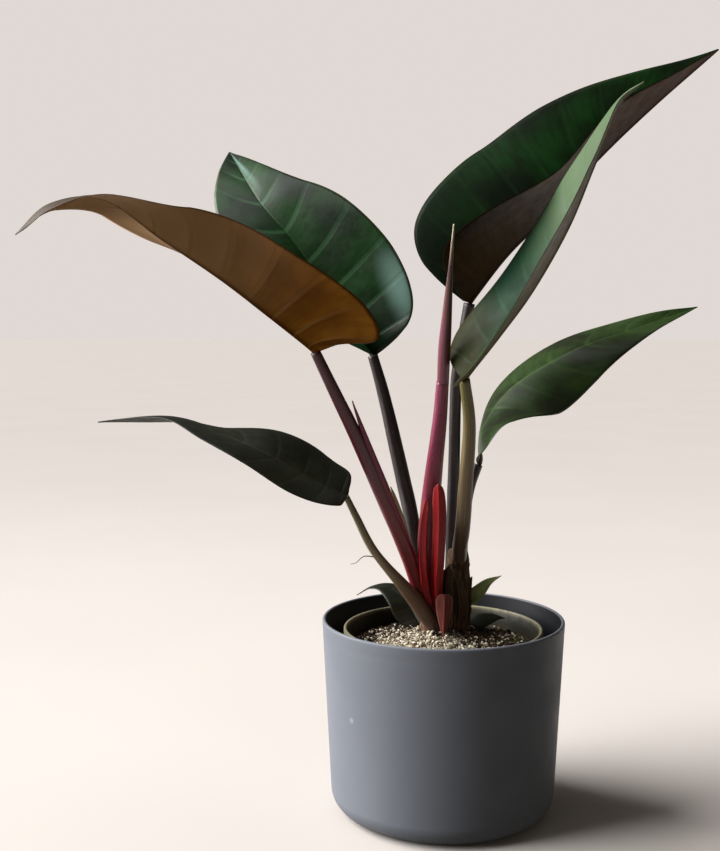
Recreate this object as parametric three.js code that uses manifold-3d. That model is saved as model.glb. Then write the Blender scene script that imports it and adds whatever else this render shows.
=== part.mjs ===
// A potted philodendron: a matte planter, a nursery pot standing in it, gritty potting mix, a short
// woody stem, six big leaves on long petioles, a rolled new leaf, and the small bracts and leaves
// round the foot. Millimetres, +Z up, +X to the right, +Y away from the viewer.
// The origin is the centre of the planter's underside.
import * as THREE from 'three';
import Module from 'manifold-3d';

const wasm = await Module();
wasm.setup();

// Driving dimensions
const PLANTER_HEIGHT = 136;
const PLANTER_RIM_RADIUS = 85;
const PLANTER_FOOT_RADIUS = 79;
const PLANTER_EDGE_RADIUS = 15.7;
const PLANTER_WALL = 2.6;
const PLANTER_FLOOR = 4;
const NURSERY_HEIGHT = 125;
const NURSERY_RIM_RADIUS = 70;
const NURSERY_FOOT_RADIUS = 58;
const NURSERY_WALL = 1.2;
const NURSERY_FLOOR = 2;
const MIX_EDGE_HEIGHT = 116;
const MIX_MOUND_HEIGHT = 124;
const GRIT_HEIGHT = 3.0;
const CROWN = [0, 14];
const BLADE_THICKNESS = 0.9;
const BRACT_THICKNESS = 1.0;
const KEEL_HEIGHT = 1.6;
const GAP = 0.3;
const ROUND_SIDES = 44;
const STEM_SIDES = 10;

// Colours, as read off the photograph, with how shiny each material is
const COLOURS = {
  planter: ['#62666f', 0.62],
  nursery: ['#7d7763', 0.55],
  mix: ['#564d40', 0.95],
  bark: ['#4a3328', 0.8],
  green: ['#1d3522', 0.32],
  darkGreen: ['#1b1f12', 0.4],
  copper: ['#7a4a2b', 0.45],
  burgundy: ['#5c1426', 0.38],
  darkStalk: ['#241419', 0.35],
  oliveStalk: ['#6d5a38', 0.45],
  brownStalk: ['#5a4630', 0.55],
  red: ['#a81f24', 0.35],
  darkRed: ['#6e1018', 0.38],
  cream: ['#c9a5a0', 0.4],
  pinkBrown: ['#8a4a44', 0.5],
  olive: ['#55602c', 0.45],
};

// Leaf outlines. Each row says where its line across the blade starts on the midrib, where it meets
// the margin (both as shares of the length) and how far out that is (a share of the half width).
const HEART = [
  [0, -0.01, 0.055], [0.014, -0.03, 0.25], [0.022, -0.065, 0.48], [0.036, -0.082, 0.68],
  [0.058, -0.06, 0.84], [0.092, 0.01, 0.95], [0.15, 0.13, 1], [0.25, 0.29, 0.97],
  [0.38, 0.46, 0.84], [0.53, 0.63, 0.62], [0.7, 0.79, 0.36], [0.85, 0.91, 0.16],
  [0.94, 0.97, 0.06], [1, 1, 0.01],
];
const OVAL = [
  [0, -0.006, 0.055], [0.008, -0.002, 0.24], [0.018, 0.01, 0.44], [0.035, 0.03, 0.62],
  [0.065, 0.07, 0.78], [0.105, 0.125, 0.9], [0.17, 0.205, 0.98], [0.27, 0.32, 1],
  [0.4, 0.48, 0.88], [0.55, 0.65, 0.64], [0.71, 0.8, 0.37], [0.85, 0.91, 0.17],
  [0.94, 0.97, 0.06], [1, 1, 0.01],
];
const STRAP = [
  [0, 0, 0.75], [0.1, 0.1, 0.85], [0.25, 0.25, 0.95], [0.45, 0.45, 1], [0.65, 0.66, 0.92],
  [0.8, 0.82, 0.72], [0.92, 0.94, 0.42], [1, 1, 0.06],
];

// The six big leaves. Points are millimetres; "face" is where the upper side looks, from the base to
// the tip; folds and curls are degrees, right and left of the midrib as seen along it from above.
const LEAVES = {
  left_front: {
    petiole: [[-4, 10, 132], [-14, 5, 150], [-26, -3, 184], [-42, -12, 222], [-60, -25, 264],
      [-76, -34, 298], [-87.4, -38.4, 322.6]],
    radii: [5.6, 5.4, 4.8, 3.4],
    midrib: [[-88, -39, 324], [-118, -52, 348], [-146, -64, 370], [-182, -78, 395],
      [-215, -88, 418], [-248, -90, 415], [-271, -84, 397]],
    width: 61, lobes: 1, belly: 1.15,
    face: [[0.56, 0.3, 0.75], [0.5, 0.42, 0.7], [-0.75, -0.05, 0.65]],
    foldRight: [50, 35, 24, 4, -10], foldLeft: [38, 34, 25, -22, -40],
    wave: 1.2, waveStart: 0, stalk: 'burgundy', upper: 'copper',
  },
  left_back: {
    petiole: [[-6, 16, 132], [-13, 21, 150], [-21, 36, 201], [-27, 44, 229], [-40, 54, 286],
      [-48.6, 57.6, 317.6]],
    radii: [5.6, 5.6, 5.2, 3.8],
    midrib: [[-49, 58, 319], [-79, 66, 361], [-108, 75, 403], [-133, 90, 432],
      [-150, 118, 458], [-165, 160, 482]],
    width: 59, lobes: 0.2, belly: 1.1,
    face: [[-0.2, -0.8, 0.6], [-0.2, -0.7, 0.7], [0, -0.2, 1]],
    foldRight: [45, 20, 15], foldLeft: [80, 25, 10],
    wave: 1.2, waveStart: 0.3, stalk: 'darkStalk', upper: 'green',
  },
  right_back: {
    petiole: [[5, 18, 132], [7, 22, 160], [8, 23, 204], [9, 23, 245], [10, 22, 299],
      [14, 22, 327], [18.5, 22, 355.4]],
    radii: [4.5, 4.3, 4.1, 4],
    midrib: [[19, 22, 357], [47, 26, 392], [81, 30, 425], [112, 34, 460], [152, 38, 498],
      [197, 42, 537]],
    width: 79, lobes: 0.08, belly: 1,
    face: [[-0.72, -0.3, 0.6], [-0.68, -0.39, 0.62], [-0.5, -0.4, 0.75]],
    foldRight: [68, 46, 50, 45], foldLeft: [60, 53, 48, 40],
    wave: 1.2, waveStart: 0.1, stalk: 'darkStalk', upper: 'green',
  },
  right_front: {
    petiole: [[12, 13, 172], [12, 6, 184], [13, -6, 202], [14, -16, 233], [15, -28, 274],
      [11, -39, 304.4]],
    radii: [5.4, 5.2, 4.6, 3.6],
    midrib: [[10.4, -40, 306], [32, -52, 335], [52, -60, 364], [72, -70, 402], [86, -78, 439],
      [99, -88, 474], [111, -100, 486]],
    width: 46, lobes: 0.3, belly: 1,
    face: [[-0.8, -0.1, 0.4], [-0.8, -0.15, 0.5], [-0.5, -0.2, 0.8]],
    foldRight: [25, 30, 20], foldLeft: [30, 25, 20],
    wave: 0.8, waveStart: 0.2, stalk: 'oliveStalk', upper: 'green',
  },
  right_low: {
    petiole: [[13, 21, 134], [14, 25, 152], [15.5, 26.5, 175], [17, 26.5, 201], [21, 27, 224],
      [26.5, 28.8, 239.4]],
    radii: [4, 3.9, 3.7, 3.2],
    midrib: [[27, 29, 241], [32, 38, 268], [55, 50, 296.5], [101, 66, 322], [146, 84, 337],
      [205, 108, 355.5]],
    width: 44.5, lobes: 0, belly: 1.3,
    face: [[-1, -0.05, 0.1], [-0.4, -0.5, 0.8], [0, -0.5, 0.85]],
    foldRight: [15, -20, 0, 8], foldLeft: [-8, -8, 2, 17],
    wave: 1.2, waveStart: 0.6, stalk: 'darkStalk', upper: 'green',
  },
  left_low: {
    petiole: [[-2, 10, 126], [-9, 5, 133], [-19, -2, 148], [-30, -8, 162], [-49, -13, 186],
      [-61, -17, 210], [-67.4, -19.6, 223.6]],
    radii: [6, 5.6, 3.4, 2.8, 2.1],
    midrib: [[-68, -20, 225], [-93, -20, 237], [-124, -16, 254], [-156, -10, 267],
      [-190, 0, 278], [-244, 14, 273]],
    width: 37, lobes: 0, belly: 1.35,
    face: [[0.3, -0.4, 0.8], [0.3, -0.36, 0.85], [0, 0.1, 0.9]],
    foldRight: [10, 10, -20, -30], foldLeft: [22, 20, 12, 10],
    wave: 0.8, waveStart: 0.2, stalk: 'brownStalk', upper: 'darkGreen',
  },
};

// The free edge of the left front petiole's sheath, which ends in a small point
const SHEATH_ROUTE = [[-6, 8, 134], [-16, 1, 156], [-25, -6, 190], [-37.5, -13.5, 222],
  [-52, -24, 258], [-62, -33, 286], [-63.5, -35, 291]];
const SHEATH_RADII = [1.8, 1.8, 1.8, 1.6, 0.3];

// The new leaf, still rolled up: a burgundy stalk and a pale blade wound round itself
const SPEAR_STALK = [[-5, 13, 132], [-9, 10, 150], [-11, 3, 190], [-8, -4, 232], [-4, -12, 275],
  [-2.4, -18, 302]];
const SPEAR_STALK_RADII = [6.4, 6.6, 6.6, 5.4, 4.2];
const SPEAR_BLADE = [[-2.4, -18.2, 302.7], [-2, -24, 325], [0, -36, 364], [2, -50, 406]];
const SPEAR_BLADE_RADII = [3.6, 3.9, 2.8, 1.4, 0.5];

// Bracts and small leaves round the foot, each a strap or an oval along its own midrib
const SMALL = {
  bract_red: {
    midrib: [[-2.6, -0.4, 140], [-5.1, -7, 156], [-4.5, -12, 179], [-4, -16, 207], [-5, -19.5, 233]],
    outline: STRAP, width: 5.6, face: [[0.1, 0.9, 0.2], [0.1, 0.9, 0.3]],
    fold: [52, 48, 40], thickness: BRACT_THICKNESS, colour: 'red',
  },
  bract_dark_red: {
    midrib: [[-11, 0, 146], [-14, -5.5, 157], [-16.5, -9, 178], [-16, -11, 204], [-13, -12, 222]],
    outline: STRAP, width: 4.6, face: [[0.7, 0.7, 0], [0.8, 0.6, 0.1]],
    fold: [35, 35, 30], thickness: BRACT_THICKNESS, colour: 'darkRed',
  },
  bract_base: {
    midrib: [[0.5, -9, 154], [0.5, -8.6, 146.5], [0.4, -6.9, 137], [0.3, -4.6, 129.5], [0.2, -3.2, 123]],
    outline: STRAP, width: 6, face: [[0, 1, 0.1], [0, 1, -0.1]],
    fold: [40, 40, 35], thickness: BRACT_THICKNESS, colour: 'pinkBrown',
  },
  bract_olive: {
    midrib: [[-11, 14, 138], [-20, 12, 160], [-25, 9, 185], [-31, 7, 208], [-37, 6, 228]],
    outline: STRAP, width: 4.2, face: [[0.7, 0.6, 0.3], [0.7, 0.6, 0.3]],
    fold: [30, 30, 25], thickness: BRACT_THICKNESS, colour: 'brownStalk',
  },
  small_leaf_right: {
    midrib: [[17, 15, 141], [26, 15, 149], [34, 16, 157], [43, 17, 162]],
    outline: OVAL, width: 6.5, face: [[-0.3, -0.7, 0.6], [-0.2, -0.5, 0.9]],
    fold: [35, 25, 20], thickness: BLADE_THICKNESS, colour: 'olive',
  },
  leaf_over_rim: {
    midrib: [[-15, 25, 124], [-25, 36, 139], [-38, 45, 147], [-50, 50, 146], [-61, 53, 139.5]],
    outline: OVAL, width: 15, face: [[-0.5, -0.3, 0.8], [0, -0.2, 1], [0.3, 0, 1]],
    fold: [30, 8, 5], thickness: BLADE_THICKNESS, colour: 'darkGreen',
  },
  leaf_on_mix: {
    midrib: [[19, 22, 127], [28, 29, 130.5], [39, 34, 129.5], [49, 38, 125.5]],
    outline: OVAL, width: 12, face: [[-0.1, -0.3, 1], [0, -0.2, 1]],
    fold: [-10, -15, -10], thickness: BLADE_THICKNESS, colour: 'darkGreen',
  },
};

// The dried thread hanging off the low left petiole
const THREAD = [[-43.5, -12, 179], [-49, -13, 181.5], [-56, -14, 182], [-61, -15, 178],
  [-65, -16, 177]];

// A smooth run through a list of numbers or of points, at t from 0 to 1
function along(keys, t) {
  if (!Array.isArray(keys[0])) return along(keys.map((key) => [key]), t)[0];
  const last = keys.length - 1;
  const position = Math.min(Math.max(t, 0), 1) * last;
  const i = Math.min(Math.floor(position), last - 1);
  const f = position - i;
  const b = keys[i];
  const c = keys[i + 1];
  const a = i > 0 ? keys[i - 1] : b.map((x, k) => 2 * x - c[k]);
  const d = i + 2 <= last ? keys[i + 2] : c.map((x, k) => 2 * x - b[k]);
  return b.map((x, k) => x + 0.5 * f * (c[k] - a[k])
    + f * f * (a[k] - 2.5 * x + 2 * c[k] - 0.5 * d[k])
    + f * f * f * (-0.5 * a[k] + 1.5 * x - 1.5 * c[k] + 0.5 * d[k]));
}

// The same run measured out by its length: at(s) gives the point and the direction there
function route(points) {
  const count = 400;
  const samples = [];
  for (let i = 0; i <= count; i += 1) {
    samples.push(new THREE.Vector3(...along(points, i / count)));
  }
  const reach = [0];
  for (let i = 1; i <= count; i += 1) {
    reach.push(reach[i - 1] + samples[i].distanceTo(samples[i - 1]));
  }
  const length = reach[count];
  const find = (s) => {
    let low = 0;
    let high = count;
    while (high - low > 1) {
      const middle = (low + high) >> 1;
      if (reach[middle] <= s) low = middle;
      else high = middle;
    }
    return samples[low].clone().lerp(samples[high], (s - reach[low]) / (reach[high] - reach[low]));
  };
  const at = (s) => {
    const inside = Math.min(Math.max(s, 0), length);
    const before = find(Math.max(inside - 0.5, 0));
    const after = find(Math.min(inside + 0.5, length));
    const tangent = after.sub(before).normalize();
    const point = find(inside).addScaledVector(tangent, s - inside);
    return { point, tangent };
  };
  return { length, at };
}

// Repeatable bumps: a smooth wobble made of a few sines
function wobble(x, y) {
  return (Math.sin(0.41 * x + 1.3 * Math.sin(0.29 * y)) + Math.sin(0.37 * y + 1.7 * Math.sin(0.33 * x))
    + Math.sin(0.83 * x - 0.61 * y) + Math.sin(0.57 * x + 0.92 * y)) / 4;
}

// A closed body from positions and triangles, turned so that it faces outward
function closed(positions, triangles) {
  let volume = 0;
  for (const [i, j, k] of triangles) {
    volume += positions[i].dot(positions[j].clone().cross(positions[k]));
  }
  const facing = volume > 0 ? triangles : triangles.map(([i, j, k]) => [i, k, j]);
  return new wasm.Manifold(new wasm.Mesh({
    numProp: 3,
    vertProperties: new Float32Array(positions.flatMap((p) => [p.x, p.y, p.z])),
    triVerts: new Uint32Array(facing.flat()),
  }));
}

// A skin over a row of rings, closed by a fan at each end
function skin(rings, start, end) {
  const sides = rings[0].length;
  const positions = [...rings.flat(), start, end];
  const triangles = [];
  for (let r = 0; r + 1 < rings.length; r += 1) {
    for (let k = 0; k < sides; k += 1) {
      const next = (k + 1) % sides;
      const a = r * sides + k;
      const b = r * sides + next;
      const c = (r + 1) * sides + next;
      const d = (r + 1) * sides + k;
      triangles.push([a, b, c], [a, c, d]);
    }
  }
  const top = (rings.length - 1) * sides;
  const first = positions.length - 2;
  for (let k = 0; k < sides; k += 1) {
    const next = (k + 1) % sides;
    triangles.push([first, next, k], [first + 1, top + k, top + next]);
  }
  return closed(positions, triangles);
}

// A body turned round the Z axis from a profile of [radius, height] that starts and ends on it
function turned(profile) {
  const inner = profile.slice(1, -1);
  const rings = inner.map(([radius, z]) => {
    const ring = [];
    for (let k = 0; k < ROUND_SIDES; k += 1) {
      const angle = (2 * Math.PI * k) / ROUND_SIDES;
      ring.push(new THREE.Vector3(radius * Math.cos(angle), radius * Math.sin(angle), z));
    }
    return ring;
  });
  const end = profile[profile.length - 1];
  return skin(rings, new THREE.Vector3(0, 0, profile[0][1]), new THREE.Vector3(0, 0, end[1]));
}

// A round stalk along a route. "extra" makes it fatter and longer, for cutting a neighbour clear.
function stalk(points, radii, extra = 0, rings = 12, shape = null) {
  const path = route(points);
  const list = [];
  let side = new THREE.Vector3(1, 0, 0);
  for (let i = 0; i <= rings; i += 1) {
    const share = i / rings;
    const s = -extra + share * (path.length + 2 * extra);
    const { point, tangent } = path.at(s);
    side = side.clone().addScaledVector(tangent, -side.dot(tangent)).normalize();
    const other = tangent.clone().cross(side);
    const radius = along(radii, share) + extra;
    const ring = [];
    for (let k = 0; k < STEM_SIDES; k += 1) {
      const turn = k / STEM_SIDES;
      const r = radius * (shape ? shape(turn) : 1);
      ring.push(point.clone()
        .addScaledVector(side, r * Math.cos(2 * Math.PI * turn))
        .addScaledVector(other, r * Math.sin(2 * Math.PI * turn)));
    }
    list.push(ring);
  }
  return skin(list, path.at(-extra).point, path.at(path.length + extra).point);
}

// The middle surface of a blade: a point for the row u (0 base to 1 tip) and the place across v
// (-1 left margin, 0 midrib, 1 right margin)
function bladeSurface(leaf) {
  const path = route(leaf.midrib);
  const lobes = leaf.lobes ?? 0;
  const rows = leaf.outline
    ?? HEART.map((row, i) => row.map((x, k) => x * lobes + OVAL[i][k] * (1 - lobes)));
  const foldRight = leaf.foldRight ?? leaf.fold;
  const foldLeft = leaf.foldLeft ?? leaf.fold;
  const curl = leaf.curl ?? 20;
  const belly = leaf.belly ?? 1;
  const bent = (x) => (x > 0 ? x ** belly : x);
  return (u, v) => {
    const [start, margin, half] = along(rows, u);
    const reach = Math.abs(v);
    const from = bent(start);
    const s = (from + (bent(margin) - from) * reach ** 1.5) * path.length;
    const share = s / path.length;
    const across = half * leaf.width * reach;
    const { point, tangent } = path.at(s);
    const normal = new THREE.Vector3(...along(leaf.face, share)).normalize();
    normal.addScaledVector(tangent, -normal.dot(tangent)).normalize();
    const right = tangent.clone().cross(normal);
    const turn = THREE.MathUtils.degToRad(curl * half * reach);
    const lift = THREE.MathUtils.degToRad(along(v >= 0 ? foldRight : foldLeft, share)) - turn / 2;
    const chord = turn > 1e-6 ? (across * Math.sin(turn / 2)) / (turn / 2) : across;
    const ripple = (leaf.wave ?? 0) * Math.sin(2 * Math.PI * (3 * u + (leaf.waveStart ?? 0))
      + (v >= 0 ? 1.7 : 0)) * reach * reach * Math.min(1, 4 * half);
    return point.addScaledVector(right, Math.sign(v) * chord * Math.cos(lift))
      .addScaledVector(normal, chord * Math.sin(lift) + ripple);
  };
}

// A blade with real thickness: the middle surface moved up and down along its own normal, with a
// strip round the edge and a keel along the underside
function blade(leaf) {
  const surface = bladeSurface(leaf);
  const big = leaf.radii !== undefined;
  const rows = big ? 18 : 9;
  const thickness = leaf.thickness ?? BLADE_THICKNESS;
  const places = big ? [-1, -0.75, -0.5, -0.25, -0.07, 0, 0.07, 0.25, 0.5, 0.75, 1]
    : [-1, -0.5, -0.1, 0, 0.1, 0.5, 1];
  const keel = big ? KEEL_HEIGHT : 0.4;
  const facing = (u, v) => {
    const du = 0.004;
    const dv = 0.02;
    const alongBlade = surface(Math.min(u + du, 1), v).sub(surface(Math.max(u - du, 0), v));
    return surface(u, v + dv).sub(surface(u, v - dv)).cross(alongBlade).normalize();
  };
  const upper = [];
  const lower = [];
  for (let i = 0; i <= rows; i += 1) {
    const u = i / rows;
    const fold = surface(u, 0);
    const foldFacing = facing(u, 0);
    for (const v of places) {
      const normal = facing(u, v);
      const middle = surface(u, v);
      const rib = v === 0 ? keel * (1 - 0.8 * u) : 0;
      // Inside the fold a side has less room near the midrib, so its thickness goes outward there
      const out = middle.clone().sub(fold);
      const rise = out.dot(foldFacing);
      const aside = Math.sqrt(Math.max(0, out.lengthSq() - rise * rise));
      const lean = Math.sqrt(Math.max(1e-9, 1 - normal.dot(foldFacing) ** 2));
      const inner = aside < 0.1 ? thickness / 2 : Math.min(thickness / 2, (0.7 * aside) / lean);
      const above = rise >= 0 ? inner : thickness - inner;
      upper.push(middle.clone().addScaledVector(normal, above));
      lower.push(middle.clone().addScaledVector(normal, above - thickness - rib));
    }
  }
  const columns = places.length;
  const positions = [...upper, ...lower];
  const below = upper.length;
  const triangles = [];
  for (let i = 0; i < rows; i += 1) {
    for (let j = 0; j + 1 < columns; j += 1) {
      const a = i * columns + j;
      const b = a + 1;
      const c = a + columns + 1;
      const d = a + columns;
      triangles.push([a, c, b], [a, d, c]);
      triangles.push([below + a, below + b, below + c], [below + a, below + c, below + d]);
    }
  }
  const rim = [];
  for (let j = 0; j < columns; j += 1) rim.push(j);
  for (let i = 1; i <= rows; i += 1) rim.push(i * columns + columns - 1);
  for (let j = columns - 2; j >= 0; j -= 1) rim.push(rows * columns + j);
  for (let i = rows - 1; i >= 1; i -= 1) rim.push(i * columns);
  rim.forEach((a, k) => {
    const b = rim[(k + 1) % rim.length];
    triangles.push([a, b, below + b], [a, below + b, below + a]);
  });
  return closed(positions, triangles);
}

// The same body grown by the gap in every direction, for cutting a neighbour clear
function grown(body) {
  let result = body;
  for (const step of [-GAP, GAP]) {
    for (const shift of [[step, 0, 0], [0, step, 0], [0, 0, step]]) {
      result = result.add(body.translate(shift));
    }
  }
  return result;
}

// Keeps the largest of the pieces a cut leaves
function largest(body) {
  const parts = body.decompose();
  return parts.reduce((best, part) => (part.volume() > best.volume() ? part : best), parts[0]);
}

function mesh(name, body, colour) {
  const data = body.getMesh();
  const geometry = new THREE.BufferGeometry();
  geometry.setAttribute('position', new THREE.BufferAttribute(new Float32Array(data.vertProperties), 3));
  geometry.setIndex(new THREE.BufferAttribute(new Uint32Array(data.triVerts), 1));
  geometry.computeVertexNormals();
  const [hex, roughness] = COLOURS[colour];
  const material = new THREE.MeshStandardMaterial({ color: hex, roughness, metalness: 0 });
  material.name = colour;
  const result = new THREE.Mesh(geometry, material);
  result.name = name;
  return result;
}

// Planter: flat foot, round lower edge, slightly tapered thin wall with a soft rim
function planterProfile() {
  const profile = [[0, 0]];
  const footFlat = PLANTER_FOOT_RADIUS - PLANTER_EDGE_RADIUS;
  for (let i = 0; i <= 6; i += 1) {
    const angle = (i / 6) * (Math.PI / 2);
    profile.push([footFlat + PLANTER_EDGE_RADIUS * Math.sin(angle),
      PLANTER_EDGE_RADIUS * (1 - Math.cos(angle))]);
  }
  const soft = PLANTER_WALL / 2;
  const rimCentre = PLANTER_RIM_RADIUS - soft;
  for (let i = 0; i <= 4; i += 1) {
    const angle = (i / 4) * Math.PI;
    profile.push([rimCentre + soft * Math.cos(angle), PLANTER_HEIGHT - soft + soft * Math.sin(angle)]);
  }
  const innerEdge = PLANTER_EDGE_RADIUS - PLANTER_WALL;
  for (let i = 0; i <= 4; i += 1) {
    const angle = (1 - i / 4) * (Math.PI / 2);
    profile.push([footFlat + innerEdge * Math.sin(angle),
      PLANTER_FLOOR + innerEdge * (1 - Math.cos(angle))]);
  }
  profile.push([0, PLANTER_FLOOR]);
  return profile;
}

// Nursery pot: thin tapered wall with a rolled rim, standing on the planter's floor
const NURSERY_BASE = PLANTER_FLOOR + GAP;
const NURSERY_TOP = NURSERY_BASE + NURSERY_HEIGHT;
function nurseryInnerRadius(z) {
  const share = (z - NURSERY_BASE) / NURSERY_HEIGHT;
  const rimWall = NURSERY_RIM_RADIUS - 2.2;
  return NURSERY_FOOT_RADIUS + (rimWall - NURSERY_FOOT_RADIUS) * share - NURSERY_WALL;
}
function nurseryProfile() {
  const wall = (z) => nurseryInnerRadius(z) + NURSERY_WALL;
  return [
    [0, NURSERY_BASE], [NURSERY_FOOT_RADIUS - 4, NURSERY_BASE], [wall(NURSERY_BASE + 4), NURSERY_BASE + 4],
    [wall(NURSERY_TOP - 12), NURSERY_TOP - 12], [NURSERY_RIM_RADIUS - 0.8, NURSERY_TOP - 11],
    [NURSERY_RIM_RADIUS, NURSERY_TOP - 9], [NURSERY_RIM_RADIUS, NURSERY_TOP - 1],
    [NURSERY_RIM_RADIUS - 0.6, NURSERY_TOP], [NURSERY_RIM_RADIUS - 2.2, NURSERY_TOP],
    [nurseryInnerRadius(NURSERY_TOP - 2), NURSERY_TOP - 2],
    [nurseryInnerRadius(NURSERY_BASE + 5), NURSERY_BASE + 5],
    [NURSERY_FOOT_RADIUS - 5, NURSERY_BASE + NURSERY_FLOOR], [0, NURSERY_BASE + NURSERY_FLOOR],
  ];
}

// Potting mix: a mound with grit standing out of it, filling the nursery pot
function mixHeight(x, y) {
  const radius = Math.hypot(x, y);
  const rise = Math.exp(-(((x - CROWN[0]) / 42) ** 2) - (((y - CROWN[1]) / 38) ** 2));
  const gritty = 1 / (1 + Math.exp((x - 30) / 8));
  const base = MIX_EDGE_HEIGHT + (MIX_MOUND_HEIGHT - MIX_EDGE_HEIGHT) * rise;
  const edge = Math.min(1, Math.max(0, (64 - radius) / 8));
  return base + edge * GRIT_HEIGHT * (0.35 + 0.65 * gritty) * wobble(1.7 * x, 1.7 * y);
}
function pottingMix() {
  const rings = [];
  const turns = 44;
  const side = (z) => nurseryInnerRadius(z) - GAP - 0.1;
  const heights = [MIX_EDGE_HEIGHT - 2, NURSERY_BASE + 6];
  for (let i = 1; i <= 12; i += 1) {
    const ring = [];
    for (let k = 0; k < turns; k += 1) {
      const angle = (2 * Math.PI * (k + (i % 2) / 2)) / turns;
      const radius = (side(MIX_EDGE_HEIGHT) * i) / 12;
      const x = radius * Math.cos(angle);
      const y = radius * Math.sin(angle);
      ring.push(new THREE.Vector3(x, y, mixHeight(x, y)));
    }
    rings.push(ring);
  }
  for (const z of heights) {
    const ring = [];
    for (let k = 0; k < turns; k += 1) {
      const angle = (2 * Math.PI * (k + 0.5)) / turns;
      ring.push(new THREE.Vector3(side(z) * Math.cos(angle), side(z) * Math.sin(angle), z));
    }
    rings.push(ring);
  }
  const bottom = new THREE.Vector3(0, 0, NURSERY_BASE + 6);
  return skin(rings, new THREE.Vector3(0, 0, mixHeight(0, 0)), bottom);
}

// Stem: a broad crown at the surface of the mix with a short woody trunk on its right side
function stemBody() {
  const lump = (sections) => {
    const rings = sections.map(([z, x, y, across, deep]) => {
      const ring = [];
      for (let k = 0; k < 20; k += 1) {
        const angle = (2 * Math.PI * k) / 20;
        ring.push(new THREE.Vector3(x + across * Math.cos(angle), y + deep * Math.sin(angle), z));
      }
      return ring;
    });
    const [low, lowX, lowY] = sections[0];
    const [high, highX, highY] = sections[sections.length - 1];
    return skin(rings, new THREE.Vector3(lowX, lowY, low), new THREE.Vector3(highX, highY, high));
  };
  const crown = lump([[100, 1, 14, 12, 10], [114, 0, 14, 15, 11], [126, 0, 14, 15.5, 11],
    [136, 0, 14, 13, 10], [143, 1, 14.5, 9, 7.5], [146, 2, 15, 5, 4]]);
  const trunk = lump([[112, 12, 16, 8, 8], [132, 12, 16, 9, 9], [150, 12, 15.5, 9.2, 9],
    [166, 11.6, 15, 8.8, 8.6], [178, 11.5, 14, 7.6, 7.4], [182, 11.5, 13.5, 6, 6]]);
  return crown.add(trunk);
}

const bodies = [];
const keepClear = [];

function place(name, body, tool, colour) {
  let cut = body;
  for (const blocker of keepClear) cut = cut.subtract(blocker);
  bodies.push([name, largest(cut), colour]);
  if (tool) keepClear.push(tool);
}

place('stem', stemBody(), grown(stemBody()), 'bark');

for (const key of ['left_low', 'left_front', 'right_front']) {
  const leaf = LEAVES[key];
  let body = stalk(leaf.petiole, leaf.radii);
  let tool = stalk(leaf.petiole, leaf.radii, GAP);
  if (key === 'left_front') {
    body = body.add(stalk(SHEATH_ROUTE, SHEATH_RADII));
    tool = tool.add(stalk(SHEATH_ROUTE, SHEATH_RADII, GAP));
  }
  place(`petiole_${key}`, body.subtract(grown(blade(leaf))), tool, leaf.stalk);
}
place('spear_stalk', stalk(SPEAR_STALK, SPEAR_STALK_RADII), stalk(SPEAR_STALK, SPEAR_STALK_RADII, GAP),
  'burgundy');
for (const key of ['left_back', 'right_back', 'right_low']) {
  const leaf = LEAVES[key];
  place(`petiole_${key}`, stalk(leaf.petiole, leaf.radii).subtract(grown(blade(leaf))),
    stalk(leaf.petiole, leaf.radii, GAP), leaf.stalk);
}
for (const [name, small] of Object.entries(SMALL)) {
  place(name, blade(small), grown(blade(small)), small.colour);
}
// The rolled blade's section grows a little as it winds, and steps back where its edge lies on top
const rolled = (turn) => 0.9 + 0.22 * turn;
place('spear_blade', stalk(SPEAR_BLADE, SPEAR_BLADE_RADII, 0, 14, rolled), null, 'cream');
place('dried_thread', stalk(THREAD, [0.5, 0.4, 0.35], 0, 12), null, 'brownStalk');
for (const [key, leaf] of Object.entries(LEAVES)) {
  bodies.push([`blade_${key}`, blade(leaf), leaf.upper]);
}

let mix = pottingMix();
for (const blocker of keepClear) mix = mix.subtract(blocker);
bodies.push(['potting_mix', largest(mix), 'mix']);
bodies.push(['nursery_pot', turned(nurseryProfile()), 'nursery']);
bodies.push(['planter', turned(planterProfile()), 'planter']);

const plant = new THREE.Group();
plant.name = 'potted_philodendron';
for (const [name, body, colour] of bodies) plant.add(mesh(name, body, colour));

export default plant;
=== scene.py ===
# %% [markdown]
# # A potted philodendron, finished in Blender
# The solids of the part are already made and packed. This script loads them as a fixed frame and
# dresses each one: finer surfaces worked out with numpy stand in for the faceted solids, and each
# gets a procedural finish. Lengths are written in millimetres, as a grower would measure, and
# turned into Blender's metres only where a mesh is made.

import math

import bpy
import numpy as np
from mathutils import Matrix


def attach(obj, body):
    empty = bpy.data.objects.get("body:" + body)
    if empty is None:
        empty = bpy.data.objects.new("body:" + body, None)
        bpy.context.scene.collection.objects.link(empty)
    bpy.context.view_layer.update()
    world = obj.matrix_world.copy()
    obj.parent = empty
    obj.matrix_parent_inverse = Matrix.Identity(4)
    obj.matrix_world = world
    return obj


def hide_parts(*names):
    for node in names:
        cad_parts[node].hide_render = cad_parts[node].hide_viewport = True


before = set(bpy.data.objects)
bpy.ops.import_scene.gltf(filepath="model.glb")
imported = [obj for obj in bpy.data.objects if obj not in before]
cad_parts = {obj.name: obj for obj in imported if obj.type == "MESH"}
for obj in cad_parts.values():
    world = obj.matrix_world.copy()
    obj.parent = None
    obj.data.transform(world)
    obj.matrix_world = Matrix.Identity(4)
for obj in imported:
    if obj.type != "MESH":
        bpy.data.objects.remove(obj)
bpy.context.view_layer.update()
MM = 0.001
print("solids in the frame:", len(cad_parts))

# %% [markdown]
# ## Smooth runs and routes
# Stalks, midribs and leaf outlines are all smooth lines through a few known points. Blender's own
# curves could hold them, but a numpy spline can be read at a whole array of places at once, and it
# is the same spline that the solids were made with, so the two agree.

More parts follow.
